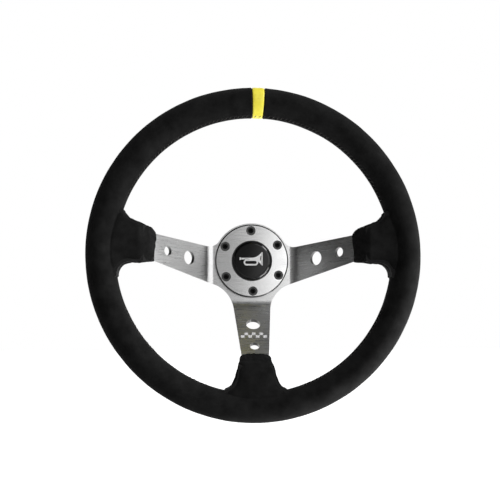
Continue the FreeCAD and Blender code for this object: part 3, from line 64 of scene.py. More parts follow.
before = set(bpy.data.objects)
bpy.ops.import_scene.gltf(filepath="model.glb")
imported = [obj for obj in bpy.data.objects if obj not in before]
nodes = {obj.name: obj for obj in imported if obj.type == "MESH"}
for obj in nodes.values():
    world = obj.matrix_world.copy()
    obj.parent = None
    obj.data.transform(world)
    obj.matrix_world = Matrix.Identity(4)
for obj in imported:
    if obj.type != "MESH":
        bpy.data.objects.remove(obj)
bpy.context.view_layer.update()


def row(x, y, station):
    """A point given as right, up and station from the column hub, in millimetres."""
    return (x * MM, -station * MM, y * MM)


# Materials -----------------------------------------------------------------------------------


def new_material(name, color, metallic=0.0, roughness=0.5, **inputs):
    """A material and its shader node. inputs are the shader's sockets, with _ for a space."""
    mat = bpy.data.materials.new(name)
    mat.use_nodes = True
    shader = mat.node_tree.nodes["Principled BSDF"]
    shader.inputs["Base Color"].default_value = (*color, 1)
    shader.inputs["Metallic"].default_value = metallic
    shader.inputs["Roughness"].default_value = roughness
    for socket, value in inputs.items():
        shader.inputs[socket.replace("_", " ")].default_value = value
    return mat, shader


def node(mat, kind, **values):
    """A new node; values are its sockets, or its settings where no socket has that name."""
    made = mat.node_tree.nodes.new(kind)
    for name, value in values.items():
        if name in made.inputs:
            made.inputs[name].default_value = value
        else:
            setattr(made, name, value)
    return made


def link(mat, source, target):
    mat.node_tree.links.new(source, target)


def stretched_noise(mat, stretch, scale, detail=4.0):
    """Noise drawn out along the axes where stretch is small; the output is its factor."""
    place = node(mat, "ShaderNodeTexCoord")
    mapping = node(mat, "ShaderNodeMapping", Scale=stretch)
    grain = node(mat, "ShaderNodeTexNoise", Scale=scale, Detail=detail, Roughness=0.6)
    link(mat, place.outputs["Object"], mapping.inputs["Vector"])
    link(mat, mapping.outputs["Vector"], grain.inputs["Vector"])
    return grain.outputs["Fac"]


def limited(mat, value, low, high, before, after):
    """The value's place between low and high, as a number from before to after."""
    remap = node(mat, "ShaderNodeMapRange")
    remap.inputs["From Min"].default_value = low
    remap.inputs["From Max"].default_value = high
    remap.inputs["To Min"].default_value = before
    remap.inputs["To Max"].default_value = after
    link(mat, value, remap.inputs["Value"])
    return remap.outputs["Result"]


def spread(mat, factor, low, high):
    """Maps a noise factor's middle range to low..high."""
    return limited(mat, factor, 0.3, 0.7, low, high)


def math_node(tree, operation, *values):
    """A math node's output; each value is a number or another node's output."""
    made = tree.nodes.new("ShaderNodeMath")
    made.operation = operation
    for socket, value in zip(made.inputs, values):
        if isinstance(value, (int, float)):
            socket.default_value = value
        else:
            tree.links.new(value, socket)
    return made.outputs[0]


def roughen(mat, shader, height, strength, distance):
    """Fine surface relief from a height factor."""
    bump = node(mat, "ShaderNodeBump", Strength=strength, Distance=distance)
    link(mat, height, bump.inputs["Height"])
    link(mat, bump.outputs["Normal"], shader.inputs["Normal"])


def tint(mat, shader, factor, dark, light):
    """Base colour that runs from dark to light with the factor."""
    ramp = node(mat, "ShaderNodeMix", data_type="RGBA")
    ramp.inputs[6].default_value = (*dark, 1)
    ramp.inputs[7].default_value = (*light, 1)
    link(mat, factor, ramp.inputs[0])
    link(mat, ramp.outputs[2], shader.inputs["Base Color"])


def brushed(name, color, stretch, roughness, anisotropic, direction=None):
    """Metal with fine lines. direction is the lines' own direction, or None for turned ones."""
    mat, shader = new_material(name, color, 1.0, roughness, Anisotropic=anisotropic)
    if direction is None:
        tangent = node(mat, "ShaderNodeTangent", direction_type="RADIAL", axis="Y")
        link(mat, tangent.outputs["Tangent"], shader.inputs["Tangent"])
    else:
        lines = node(mat, "ShaderNodeCombineXYZ", X=direction[0], Y=direction[1], Z=direction[2])
        link(mat, lines.outputs["Vector"], shader.inputs["Tangent"])
    grain = stretched_noise(mat, stretch, 1300.0)
    link(mat, spread(mat, grain, roughness - 0.05, roughness + 0.07), shader.inputs["Roughness"])
    dark = tuple(0.9 * c for c in color)
    tint(mat, shader, spread(mat, grain, 0.0, 1.0), dark, color)
    roughen(mat, shader, grain, 0.05, 0.00004)
    return mat


def paint_edge_shade(mat, shade, outward=None):
    """Painted shade: turned, drilled and cut edges get a darker base colour, standing in for their
    shadow.

    An edge is where the normal leans away from the driver's side past the limits. outward, if
    given, are the limits past which a normal that points away from the axis is an edge too.
    """
    shader = mat.node_tree.nodes["Principled BSDF"]
    face = shader.inputs["Base Color"].links[0].from_socket
    place = node(mat, "ShaderNodeNewGeometry")
    split = node(mat, "ShaderNodeSeparateXYZ")
    link(mat, place.outputs["True Normal"], split.inputs["Vector"])
    facing = node(mat, "ShaderNodeMath", operation="ABSOLUTE")
    link(mat, split.outputs["Y"], facing.inputs[0])
    low, high = EDGE_SHADE_LIMITS if outward is None else CUT_SHADE_LIMITS
    keep = limited(mat, facing.outputs[0], low, high, shade, 1.0)
    if outward is not None:
        level = node(mat, "ShaderNodeVectorMath", operation="MULTIPLY")
        level.inputs[1].default_value = (1, 0, 1)
        away = node(mat, "ShaderNodeVectorMath", operation="NORMALIZE")
        along = node(mat, "ShaderNodeVectorMath", operation="DOT_PRODUCT")
        least = node(mat, "ShaderNodeMath", operation="MINIMUM")
        link(mat, place.outputs["Position"], level.inputs[0])
        link(mat, level.outputs["Vector"], away.inputs[0])
        link(mat, away.outputs["Vector"], along.inputs[0])
        link(mat, place.outputs["True Normal"], along.inputs[1])
        link(mat, keep, least.inputs[0])
        link(mat, limited(mat, along.outputs["Value"], *outward, 1.0, shade), least.inputs[1])
        keep = least.outputs[0]
    mix = node(mat, "ShaderNodeMix", data_type="RGBA", blend_type="MULTIPLY")
    mix.inputs[0].default_value = 1.0
    link(mat, face, mix.inputs[6])
    link(mat, keep, mix.inputs[7])
    link(mat, mix.outputs[2], shader.inputs["Base Color"])


def suede_material():
    mat, shader = new_material("suede_black", (0.02, 0.02, 0.02), 0.0, 0.95)
    shader.inputs["Specular IOR Level"].default_value = 0.08
    shader.inputs["Sheen Weight"].default_value = 0.03
    shader.inputs["Sheen Roughness"].default_value = 0.6
    cloud = stretched_noise(mat, (1, 1, 1), 70.0, 5.0)
    dark, light = (0.0035, 0.0035, 0.0035), (0.0125, 0.0125, 0.0125)
    tint(mat, shader, spread(mat, cloud, 0.0, 1.0), dark, light)
    nap = stretched_noise(mat, (1, 1, 1), 1500.0, 3.0)
    roughen(mat, shader, nap, 0.5, 0.0004)
    return mat


def yellow_material():
    mat, shader = new_material("marker_yellow", (0.83, 0.68, 0.012), 0.0, 0.38)
    shader.inputs["Specular IOR Level"].default_value = 0.45
    # Painted glow: a faint emission makes the yellow band brighter than the lamps alone make it.
    shader.inputs["Emission Color"].default_value = (0.95, 0.84, 0.08, 1)
    shader.inputs["Emission Strength"].default_value = 0.12
    cloud = stretched_noise(mat, (1, 1, 1), 160.0, 4.0)
    tint(mat, shader, spread(mat, cloud, 0.0, 1.0), (0.90, 0.78, 0.05), (0.97, 0.88, 0.10))
    grain = stretched_noise(mat, (1, 1, 1), 1800.0, 3.0)
    roughen(mat, shader, grain, 0.12, 0.0002)
    return mat


def screw_material():
    """Black oxide steel, with painted shadow: a near-black disc over the socket of each of the six
    heads.
    """
    mat, shader = new_material("screw_black", (0.12, 0.12, 0.12), 0.9, 0.38)
    place = node(mat, "ShaderNodeTexCoord")
    split = node(mat, "ShaderNodeSeparateXYZ")
    link(mat, place.outputs["Object"], split.inputs["Vector"])
    x, _, z = split.outputs

    def calc(operation, *values):
        return math_node(mat.node_tree, operation, *values)

    # Fold the six screws onto one: the angle from the nearest screw's own direction.
    sixth = math.pi / 3
    angle = calc("ADD", calc("ARCTAN2", x, z), SCREW_CLOCKING + 10 * sixth)
    folded = calc("WRAP", angle, sixth / 2, -sixth / 2)
    reach = calc("SQRT", calc("ADD", calc("MULTIPLY", x, x), calc("MULTIPLY", z, z)))
    out = calc("SUBTRACT", calc("MULTIPLY", reach, calc("COSINE", folded)), SCREW_CIRCLE)
    side = calc("MULTIPLY", reach, calc("SINE", folded))
    square = calc("ADD", calc("MULTIPLY", out, out), calc("MULTIPLY", side, side))
    # Painted shadow: near black inside the socket's shadow edge, and the steel's own tone outside
    # it.
    inside = limited(mat, calc("SQRT", square), *SOCKET_SHADOW_EDGE, 0.0, 1.0)
    tint(mat, shader, inside, (0.004, 0.004, 0.004), (0.085, 0.085, 0.085))
    return mat


def plain(name, color, metallic, roughness, **inputs):
    """A material with no texture."""
    return new_material(name, color, metallic, roughness, **inputs)[0]


def make_materials():
    fine, along = (0.03, 0.03, 1), (0, 0, 1)
    looks = {
        "suede": suede_material(),
        "yellow": yellow_material(),
        "thread": plain("thread", (0.045, 0.042, 0.038), 0.0, 0.7),
        "plate": brushed("plate_brushed", (0.80, 0.80, 0.80), fine, 0.29, 0.65, along),
        "ring": brushed("ring_brushed", (0.82, 0.82, 0.82), fine, 0.2, 0.8, along),
        "hub_steel": brushed("hub_turned", (0.52, 0.52, 0.53), (1, 1, 1), 0.3, 0.5),
        "coupler": brushed("coupler_anodised", (0.035, 0.035, 0.038), (1, 1, 1), 0.38, 0.4),
        "collar": brushed("collar_anodised", (0.04, 0.04, 0.043), (1, 1, 1), 0.34, 0.4),
        "screw": screw_material(),
        "chrome": plain("ball_polished", (0.78, 0.78, 0.8), 1.0, 0.08),
        "spring": plain("spring_wire", (0.42, 0.42, 0.43), 1.0, 0.3),
        "brass": plain("contact_brass", (0.72, 0.52, 0.22), 1.0, 0.28),
        "nylon": plain("insulator_nylon", (0.62, 0.58, 0.48), 0.0, 0.45),
        "zinc": plain("nut_zinc", (0.6, 0.6, 0.58), 1.0, 0.35),
        "horn_plastic": plain("horn_body", (0.006, 0.006, 0.006), 0.0, 0.3),
        "horn_gloss": plain("horn_gloss", (0.004, 0.004, 0.004), 0.0, 0.1, Specular_IOR_Level=0.6),
        "emblem": plain("horn_face", (0.004, 0.004, 0.004), 0.0, 0.16, Specular_IOR_Level=0.25),
        "white": plain("symbol_white", (0.86, 0.86, 0.86), 0.0, 0.35),
        "etched": plain("etched_pale", (0.92, 0.92, 0.92), 0.0, 0.6),
        "primer": plain("frame_primer", (0.06, 0.06, 0.06), 0.0, 0.7),
        "rivet": plain("rivet_plain", (0.6, 0.6, 0.6), 1.0, 0.35),
        "foam": plain("foam_black", (0.006, 0.006, 0.006), 0.0, 1.0),
    }
    # Painted shade on the ring's turned edge, and on the plate's cut edges and hole walls.
    paint_edge_shade(looks["ring"], 0.1)
    paint_edge_shade(looks["plate"], 0.22, outward=(0.1, 0.25))
    return looks


NODE_LOOKS = {
    "column_hub": "hub_steel",
    "contact_insulator": "nylon",
    "contact_disc": "brass",
    "terminal_nut": "zinc",
    "coupler_body": "coupler",
    "release_collar": "collar",
    "collar_spring": "spring",
    "stop_washer": "hub_steel",
    "collar_circlip": "spring",
    "pin_bush": "nylon",
    "contact_pin": "brass",
    "pin_spring": "spring",
    "horn_cup": "horn_plastic",
    "live_contact": "brass",
    "horn_spring": "spring",
    "moving_contact": "brass",
    "horn_cap": "horn_gloss",
    "emblem_disc": "emblem",
    "horn_ring": "ring",
    "ring_bolts": "screw",
    "spoke_plate": "plate",
    "rim_frame": "primer",
    "spoke_rivets": "rivet",
    "foam_grip": "foam",
    "suede_cover": "suede",
    "centre_marker": "yellow",
}


def dress_nodes(looks):
    """Gives every CAD node its material."""
    for name, piece in nodes.items():
        look = "chrome" if name.startswith("lock_ball") else NODE_LOOKS[name]
        piece.data.materials.clear()
        piece.data.materials.append(looks[look])


# Mesh helpers --------------------------------------------------------------------------------


def new_mesh(name, points, faces, material, smooth=True):
    """A mesh object from points in metres."""
    mesh = bpy.data.meshes.new(name)
    mesh.from_pydata([tuple(p) for p in points], [], [tuple(f) for f in faces])
    mesh.update()
    if smooth:
        mesh.polygons.foreach_set("use_smooth", [True] * len(mesh.polygons))
    mesh.materials.append(material)
    made = bpy.data.objects.new(name, mesh)
    bpy.context.scene.collection.objects.link(made)
    return made


def grid_faces(rings, around, closed_rings):
    """Quads over rings of points; the rings close on themselves, and on each other if asked."""
    faces = []
    last = rings if closed_rings else rings - 1
    for i in range(last):
        for j in range(around):
            a = i * around + j
            b = i * around + (j + 1) % around
            c = ((i + 1) % rings) * around + (j + 1) % around
            d = ((i + 1) % rings) * around + j
            faces.append((a, b, c, d))
    return faces


def apply_modifiers(piece):
    """Replaces the piece's mesh with what its modifiers make of it."""
    depsgraph = bpy.context.evaluated_depsgraph_get()
    mesh = bpy.data.meshes.new_from_object(piece.evaluated_get(depsgraph))
    old = piece.data
    piece.modifiers.clear()
    piece.data = mesh
    bpy.data.meshes.remove(old)


def torus_point(angle, section, radius):
    """A point of the rim: angle round the wheel from +X, section angle from outwards."""
    reach = RIM_RADIUS + radius * math.cos(section)
    station = RIM_PLANE + radius * math.sin(section)
    return (reach * math.cos(angle), reach * math.sin(angle), station)


# Springs -------------------------------------------------------------------------------------

# Spring, the joint that shortens it, the joint's travel in metres, and the end that stays put.
SPRINGS = [
    ("collar_spring", "collar_slide", 0.005, "driver"),
    ("pin_spring", "contact_pin_slide", 0.0015, "driver"),
    ("horn_spring", "horn_press", 0.0015, "column"),
]


def make_springs():
    """Copies of the CAD coils, attached to the wheel in place of the solid ones, which are hidden.
    """
    for name, joint, travel, end in SPRINGS:
        solid = nodes[name]
        piece = bpy.data.objects.new(f"{name}_coil", solid.data.copy())
        bpy.context.scene.collection.objects.link(piece)
        piece.matrix_world = solid.matrix_world.copy()
        bpy.context.view_layer.update()
        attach(piece, "wheel")
        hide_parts(name)
        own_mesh(piece)


# Suede cover ---------------------------------------------------------------------------------

# Plan of a side paddle: distance along the spoke, lower edge, upper edge, in millimetres.
SIDE_PLAN = [
    (106.2, -6.6, 24.2),
    (106.9, -7.6, 25.2),
    (108.2, -8.0, 26.8),
    (110.6, -7.9, 29.0),
    (114.0, -8.4, 30.6),
    (121.0, -9.4, 33.2),
    (127.0, -9.4, 35.8),
    (131.0, -9.6, 38.4),
    (134.0, -10.3, 42.0),
    (136.5, -11.6, 46.5),
    (139.5, -14.0, 46.5),
    (143.0, -20.0, 42.0),
    (147.0, -24.0, 38.0),
    (153.0, -24.0, 36.0),
]
# The hide's end slants: its lower edge starts further out along the spoke.
SIDE_SLANT = 3.6
# Plan of the lower paddle: distance along the spoke, half width.
LOWER_PLAN = [
    (107.0, 14.6),
    (107.6, 15.8),
    (109.4, 16.6),
    (112.0, 17.2),
    (116.0, 18.6),
    (120.5, 20.2),
    (126.0, 21.6),
    (131.0, 23.2),
    (135.0, 25.0),
    (138.0, 28.0),
    (140.0, 33.0),
    (144.0, 38.0),
    (153.0, 40.0),
]
# Distance along the spoke where its slope ends, at the rim's plane.
TIP_SLOPE_END = 117.3
# Half the paddle's thickness, at distances along the spoke.
PADDLE_KNOTS = [100, 106, 110, 118, 130, 142, 154]
PADDLE_HALVES = [4.6, 5.3, 6.1, 7.6, 8.8, 10.2, 11.5]
PADDLE_POINTS = 40
PADDLE_EXPONENT = 0.66


def spoke_station(along):
    """Station of the spoke's middle surface at a distance along it."""
    return RIM_PLANE - max(0.0, TIP_SLOPE_END - along) * math.tan(SPOKE_ANGLE)


def paddle_mesh(plan, turn, slant=0.0):
    """Points and faces of one paddle; turn gives (along, across) its place on the wheel."""
    points, faces = [], []
    for along, low, high in plan:
        lean = SPOKE_ANGLE * float(np.interp(along, [111, 124], [1, 0]))
        middle = (low + high) / 2
        half = (high - low) / 2
        thick = float(np.interp(along, PADDLE_KNOTS, PADDLE_HALVES))
        skew = slant * float(np.interp(along, [106, 118], [1, 0]))
        for k in range(PADDLE_POINTS):
            a = 2 * math.pi * k / PADDLE_POINTS
            c, s = math.cos(a), math.sin(a)
            across = middle + half * math.copysign(abs(c) ** PADDLE_EXPONENT, c)
            depth = thick * math.copysign(abs(s) ** PADDLE_EXPONENT, s)
            skewed = along + skew * (high - across) / (high - low)
            x = skewed - depth * math.sin(lean)
            station = spoke_station(skewed) + depth * math.cos(lean)
            points.append((*turn(x, across), station))
    faces += grid_faces(len(plan), PADDLE_POINTS, False)
    faces.append(tuple(range(PADDLE_POINTS)))
    last = (len(plan) - 1) * PADDLE_POINTS
    faces.append(tuple(last + k for k in reversed(range(PADDLE_POINTS))))
    return points, faces


def suede_blank():
    """Rim and paddles as one closed mesh, in millimetres as (right, up, station)."""
    points, faces = [], []

    def add(more_points, more_faces):
        start = len(points)
        points.extend(more_points)
        faces.extend(tuple(start + i for i in f) for f in more_faces)

    rings, around = 360, 64
    ring = [
        torus_point(2 * math.pi * i / rings, 2 * math.pi * j / around, GRIP_RADIUS)
        for i in range(rings)
        for j in range(around)
    ]
    add(ring, grid_faces(rings, around, True))
    lower = [(along, -half, half) for along, half in LOWER_PLAN]
    add(*paddle_mesh(SIDE_PLAN, lambda x, y: (x, y), SIDE_SLANT))
    add(*paddle_mesh(SIDE_PLAN, lambda x, y: (-x, y), SIDE_SLANT))
    add(*paddle_mesh(lower, lambda x, y: (y, -x)))
    return points, faces


def noise_at(points, scale, seed):
    """Smooth noise from about -1 to 1 at each point; the seed picks its place."""
    shift = Vector((seed * 3.7, seed * 1.3, seed * 2.1))
    return np.array([perlin(Vector(p) * scale + shift) for p in points])


def smoothstep(low, high, value):
    """0 below low, 1 above high, and smooth between."""
    t = np.clip((value - low) / (high - low), 0, 1)
    return t * t * (3 - 2 * t)


def vertex_normals(piece):
    normals = np.zeros(len(piece.data.vertices) * 3, np.float32)
    piece.data.vertices.foreach_get("normal", normals)
    return normals.reshape(-1, 3).astype(float)


def read_points(piece):
    co = np.zeros(len(piece.data.vertices) * 3, np.float32)
    piece.data.vertices.foreach_get("co", co)
    return co.reshape(-1, 3).astype(float)


def write_points(piece, points):
    piece.data.vertices.foreach_set("co", points.astype(np.float32).ravel())
    piece.data.update()


def seam_angles():
    """Angles round the wheel where the inner seam runs free, between the paddles."""
    return [(22, 158), (202, 252), (288, 338)]


def on_seam(angle):
    """1 where the seam runs between the paddles, 0 under them."""
    degrees = np.degrees(angle) % 360
    inside = np.zeros_like(degrees)
    for low, high in seam_angles():
        edge = smoothstep(low, low + 3, degrees) * (1 - smoothstep(high - 3, high, degrees))
        inside = np.maximum(inside, edge)
    return inside


def sculpt_suede(piece):
    """Seam groove with its lumps, puckered ends on the spokes, and slack in the hide."""
    p = read_points(piece) / MM
    n = vertex_normals(piece)
    x, up, station = p[:, 0], p[:, 2], -p[:, 1]
    angle = np.arctan2(up, x)
    reach = np.hypot(x, up)
    section = np.arctan2(station - RIM_PLANE, reach - RIM_RADIUS)
    tube = np.hypot(station - RIM_PLANE, reach - RIM_RADIUS)
    move = np.zeros(len(p))

    # Slow unevenness of hand-stretched hide.
    move += 0.16 * noise_at(p, 0.035, 1) + 0.09 * noise_at(p, 0.11, 2)

    # The seam: a groove between two soft ridges, pinched at every stitch.
    seam = on_seam(angle)
    off = (section - SEAM_SECTION + math.pi) % (2 * math.pi) - math.pi
    across = off * GRIP_RADIUS
    arc = angle * (RIM_RADIUS - GRIP_RADIUS)
    pinch = 0.5 + 0.5 * np.cos(2 * math.pi * arc / STITCH_STEP)
    rough = noise_at(np.c_[arc * 0.35, across * 0.3, np.zeros(len(p))], 1.0, 3)
    groove = np.exp(-((across / 0.9) ** 2))
    ridge = np.exp(-(((np.abs(across) - 2.3) / 1.5) ** 2))
    move += seam * (-0.75 * groove + ridge * (0.34 * (1 - pinch) + 0.3 * rough + 0.08))

    # The cover dips under the marker band.
    top = np.abs((angle - math.pi / 2 + MARKER_TURN + math.pi) % (2 * math.pi) - math.pi)
    band = 1 - smoothstep(MARKER_HALF, GROOVE_HALF, top)
    lip = np.exp(-(((top - GROOVE_HALF - 0.006) / 0.006) ** 2))
    move += np.where(tube < GRIP_RADIUS + 3, -1.5 * band + 0.14 * lip, 0.0)

    # Puckered hem where each paddle ends on its spoke.
    for along, side in ((x, up), (-x, up), (-up, x)):
        near = (np.abs(side) < 60) & (along > 95)
        hem = np.exp(-(((along - 108.0) / 1.7) ** 2)) * near
        fold = np.exp(-(((along - 111.4) / 1.5) ** 2)) * near
        gather = np.cos(2 * math.pi * side / 5.2 + 2.0 * noise_at(p, 0.12, 5))
        lumps = noise_at(p, 0.33, 4)
        move += hem * (0.12 + 0.26 * gather + 0.4 * lumps) - fold * (0.1 + 0.2 * lumps)
        wrinkle = np.exp(-(((along - 114) / 7.0) ** 2)) * near
        move += wrinkle * 0.22 * noise_at(p * np.array([0.4, 0.4, 1.0]), 0.3, 6)

    # Lumpy stitched edges along the paddles' sides, as the seam carries on down them.
    inside = 1 - smoothstep(RIM_RADIUS - GRIP_RADIUS - 3, RIM_RADIUS - GRIP_RADIUS, reach)
    edge = inside * (1 - smoothstep(0.35, 0.9, np.abs(n[:, 1])))
    move += edge * 0.6 * noise_at(p, 0.27, 7)
    write_points(piece, (p + n * move[:, None]) * MM)


def make_suede(looks):
    """The cover: rim and paddles melted into one skin, smoothed, then sculpted."""
    points, faces = suede_blank()
    piece = new_mesh("suede_skin", [row(*q) for q in points], faces, looks["suede"])
    remesh = piece.modifiers.new("remesh", "REMESH")
    remesh.mode = "VOXEL"
    remesh.voxel_size = VOXEL * MM
    remesh.use_smooth_shade = True
    apply_modifiers(piece)
    smooth = piece.modifiers.new("smooth", "SMOOTH")
    smooth.factor = 0.5
    smooth.iterations = 14
    apply_modifiers(piece)
    swell_back(piece)
    sculpt_suede(piece)
    piece.data.polygons.foreach_set("use_smooth", [True] * len(piece.data.polygons))
    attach(piece, "wheel")
    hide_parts("suede_cover")
    return piece


def swell_back(piece):
    """Gives the rim back the radius that smoothing took, away from the paddles."""
    p = read_points(piece) / MM
    reach = np.hypot(p[:, 0], p[:, 2])
    away = np.c_[p[:, 0] / reach, np.zeros(len(p)), p[:, 2] / reach]
    out = (reach - RIM_RADIUS)[:, None] * away
    out[:, 1] = p[:, 1] + RIM_PLANE
    tube = np.linalg.norm(out, axis=1)
    near = 1 - smoothstep(0.4, 1.6, np.abs(tube - GRIP_RADIUS))
    grown = out * ((GRIP_RADIUS / np.maximum(tube, 1e-6)) - 1)[:, None]
    write_points(piece, (p + grown * near[:, None]) * MM)


def capsule_tube(path, radius, around=6):
    """Points and faces of a short closed thread along a path."""
    points, faces = [], []
    count = len(path)
    for i, q in enumerate(path):
        ahead = Vector(path[min(i + 1, count - 1)]) - Vector(path[max(i - 1, 0)])
        ahead.normalize()
        side = ahead.cross(Vector((0.31, 0.57, 0.76))).normalized()
        lift = ahead.cross(side)
        size = radius * (0.45 if i in (0, count - 1) else 1.0)
        for k in range(around):
            a = 2 * math.pi * k / around
            points.append(Vector(q) + (side * math.cos(a) + lift * math.sin(a)) * size)
    faces += grid_faces(count, around, False)
    faces.append(tuple(range(around)))
    faces.append(tuple((count - 1) * around + k for k in reversed(range(around))))
    return points, faces


def make_stitches(looks):
    """Threads that cross the inner seam, a little uneven as hand stitching is."""
    rng = np.random.default_rng(7)
    points, faces = [], []
    inner = RIM_RADIUS - GRIP_RADIUS
    for low, high in seam_angles():
        angle = math.radians(low + 1.5)
        while angle < math.radians(high - 1.5):
            slant = math.radians(0.75 + 0.3 * rng.random())
            half = (1.75 + 0.5 * rng.random()) / GRIP_RADIUS
            path = []
            for t in np.linspace(-1, 1, 7):
                lift = 0.28 - 0.5 * abs(t) ** 3 - 0.12 * (1 - abs(t))
                section = SEAM_SECTION + t * half
                q = torus_point(angle + t * slant / 2, section, GRIP_RADIUS + lift)
                path.append(row(*q))
            more_points, more_faces = capsule_tube(path, 0.3 * MM)
            start = len(points)
            points += more_points
            faces += [tuple(start + i for i in f) for f in more_faces]
            angle += STITCH_STEP * (0.93 + 0.14 * rng.random()) / inner
    piece = new_mesh("seam_stitches", points, faces, looks["thread"])
    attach(piece, "wheel")
    return piece


def make_marker(looks):
    """Yellow band: rounded edges, and a gathered end at the inner seam."""
    rings, around = 40, 128
    points = []
    for i in range(rings):
        t = -1 + 2 * i / (rings - 1)
        for j in range(around):
            section = 2 * math.pi * j / around
            off = section - math.pi
            seam = math.exp(-((off * GRIP_RADIUS / 2.6) ** 2))
            edge = 1 - abs(t) ** 6
            lump = perlin(Vector((t * 2.4, section * 6.0, MARKER_SEED)))
            radius = GRIP_RADIUS - 0.35 + 0.5 * edge + 0.06 * lump
            radius -= seam * (0.5 + 0.75 * max(0.0, lump) + 0.5 * math.exp(-((t / 0.25) ** 2)))
            width = MARKER_HALF * (1 + 0.012 * math.sin(3 * off) - 0.05 * seam * abs(lump))
            angle = math.pi / 2 - MARKER_TURN + t * width
            points.append(row(*torus_point(angle, section, radius)))
    for t in (-1, 1):
        for j in range(around):
            section = 2 * math.pi * j / around
            angle = math.pi / 2 - MARKER_TURN + t * MARKER_HALF * 0.985
            points.append(row(*torus_point(angle, section, GRIP_RADIUS - 1.6)))
    faces = grid_faces(rings, around, False)
    first = rings * around
    last = (rings - 1) * around
    for j in range(around):
        k = (j + 1) % around
        faces.append((first + k, k, j, first + j))
        faces.append((last + j, last + k, first + around + k, first + around + j))
        faces.append((first + j, first + around + j, first + around + k, first + k))
    piece = new_mesh("marker_band", points, faces, looks["yellow"])
    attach(piece, "wheel")
    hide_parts("centre_marker")
    return piece


# Printed and etched marks --------------------------------------------------------------------


def slab(name, outlines, to_row, thickness, material):
    """Thin closed shapes from flat outlines in millimetres; to_row places (x, y, height)."""
    points, faces = [], []
    for outline in outlines:
        start = len(points)
        count = len(outline)
        points += [to_row(x, y, thickness) for x, y in outline]
        points += [to_row(x, y, 0.0) for x, y in outline]
        faces.append(tuple(start + i for i in range(count)))
        faces.append(tuple(start + count + i for i in reversed(range(count))))
        for i in range(count):
            j = (i + 1) % count
            faces.append((start + i, start + count + i, start + count + j, start + j))
    return new_mesh(name, points, faces, material, smooth=False)


def arc_points(cx, cy, radius, start, end, count):
    """Points on an arc, with its start and end in degrees."""
    return [
        (cx + radius * math.cos(math.radians(a)), cy + radius * math.sin(math.radians(a)))
        for a in np.linspace(start, end, count)
    ]


def bugle_outlines():
    """A plain bugle: mouthpiece, tube, flared bell, and a loop of tube below."""
    upper, lower = [], []
    for t in np.linspace(0, 1, 24):
        x = -9.0 + 17.0 * t
        half = 0.75 + 4.6 * max(0.0, (t - 0.45) / 0.55) ** 2.6
        upper.append((x, 1.6 + half))
        lower.append((x, 1.6 - half))
    tube = lower + list(reversed(upper))
    mouth = [(-10.6, 0.1), (-9.2, 0.9), (-9.2, 2.3), (-10.6, 3.1)]
    bell = [(8.2, -4.1), (9.0, -4.1), (9.0, 7.3), (8.2, 7.3)]
    loops = []
    outer = arc_points(-4.6, -1.6, 2.6, 90, 270, 14) + arc_points(2.6, -1.6, 2.6, -90, 90, 14)
    inner = arc_points(-4.6, -1.6, 1.3, 90, 270, 14) + arc_points(2.6, -1.6, 1.3, -90, 90, 14)
    count = len(outer)
    for i in range(count):
        j = (i + 1) % count
        loops.append([inner[i], inner[j], outer[j], outer[i]])
    return [tube, mouth, bell] + loops


# The button's domed face: its rise over its reach, and the station of its rim.
SYMBOL_SCALE = 1.35
DOME_RISE = 0.4
DOME_REACH = 18.9
CAP_FRONT = 56.6


def make_symbol(looks):
    """White horn symbol, printed on the button's domed face."""

    def to_row(x, y, height):
        dome = DOME_RISE * (1 - (x * x + y * y) / DOME_REACH**2)
        return row(x, y, CAP_FRONT + dome - 0.03 + height)

    sized = [[(SYMBOL_SCALE * x, SYMBOL_SCALE * y) for x, y in o] for o in bugle_outlines()]
    fine = [subdivide(outline, 1.0) for outline in sized]
    piece = slab("horn_symbol", fine, to_row, 0.06, looks["white"])
    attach(piece, "horn")
    return piece


def subdivide(outline, step):
    """The outline with points added so that no two are much further apart than step."""
    made = []
    for i, (x0, y0) in enumerate(outline):
        x1, y1 = outline[(i + 1) % len(outline)]
        count = max(1, int(math.hypot(x1 - x0, y1 - y0) / step))
        made += [(x0 + (x1 - x0) * k / count, y0 + (y1 - y0) * k / count) for k in range(count)]
    return made


CHECK_SIZE = 4.1
CHECK_COLUMNS = 7
CHECK_ROWS = 2
CHECK_ALONG = 86.3


def make_checks(looks):
    """Pale chequered strip etched on the lower spoke between its two holes."""
    outlines = []
    for i in range(CHECK_COLUMNS):
        for j in range(CHECK_ROWS):
            if (i + j) % 2:
                continue
            x = (i - CHECK_COLUMNS / 2) * CHECK_SIZE
            y = (j - CHECK_ROWS / 2) * CHECK_SIZE
            size = CHECK_SIZE * 0.96
            outlines.append([(x, y), (x + size, y), (x + size, y + size), (x, y + size)])
    slope_start = BEND_START + BEND_RADIUS * math.sin(SPOKE_ANGLE)
    slope_station = PLATE_MIDDLE + BEND_RADIUS * (1 - math.cos(SPOKE_ANGLE))

    def to_row(x, y, height):
        along = CHECK_ALONG - y * math.cos(SPOKE_ANGLE)
        station = slope_station + (along - slope_start) * math.tan(SPOKE_ANGLE)
        lift = PLATE_HALF + height - 0.02
        down = along - lift * math.sin(SPOKE_ANGLE)
        return row(x, -down, station + lift * math.cos(SPOKE_ANGLE))

    piece = slab("etched_checks", outlines, to_row, 0.04, looks["etched"])
    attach(piece, "wheel")
    return piece


# Stage ---------------------------------------------------------------------------------------

FLOOR_Z = -0.42
CAMERA_PLACE = (-0.0416, -0.7323, -0.0683)
CAMERA_TILT = math.radians(-1.736)
CAMERA_SWING = math.radians(3.787)
CAMERA_ROLL = math.radians(-0.034)


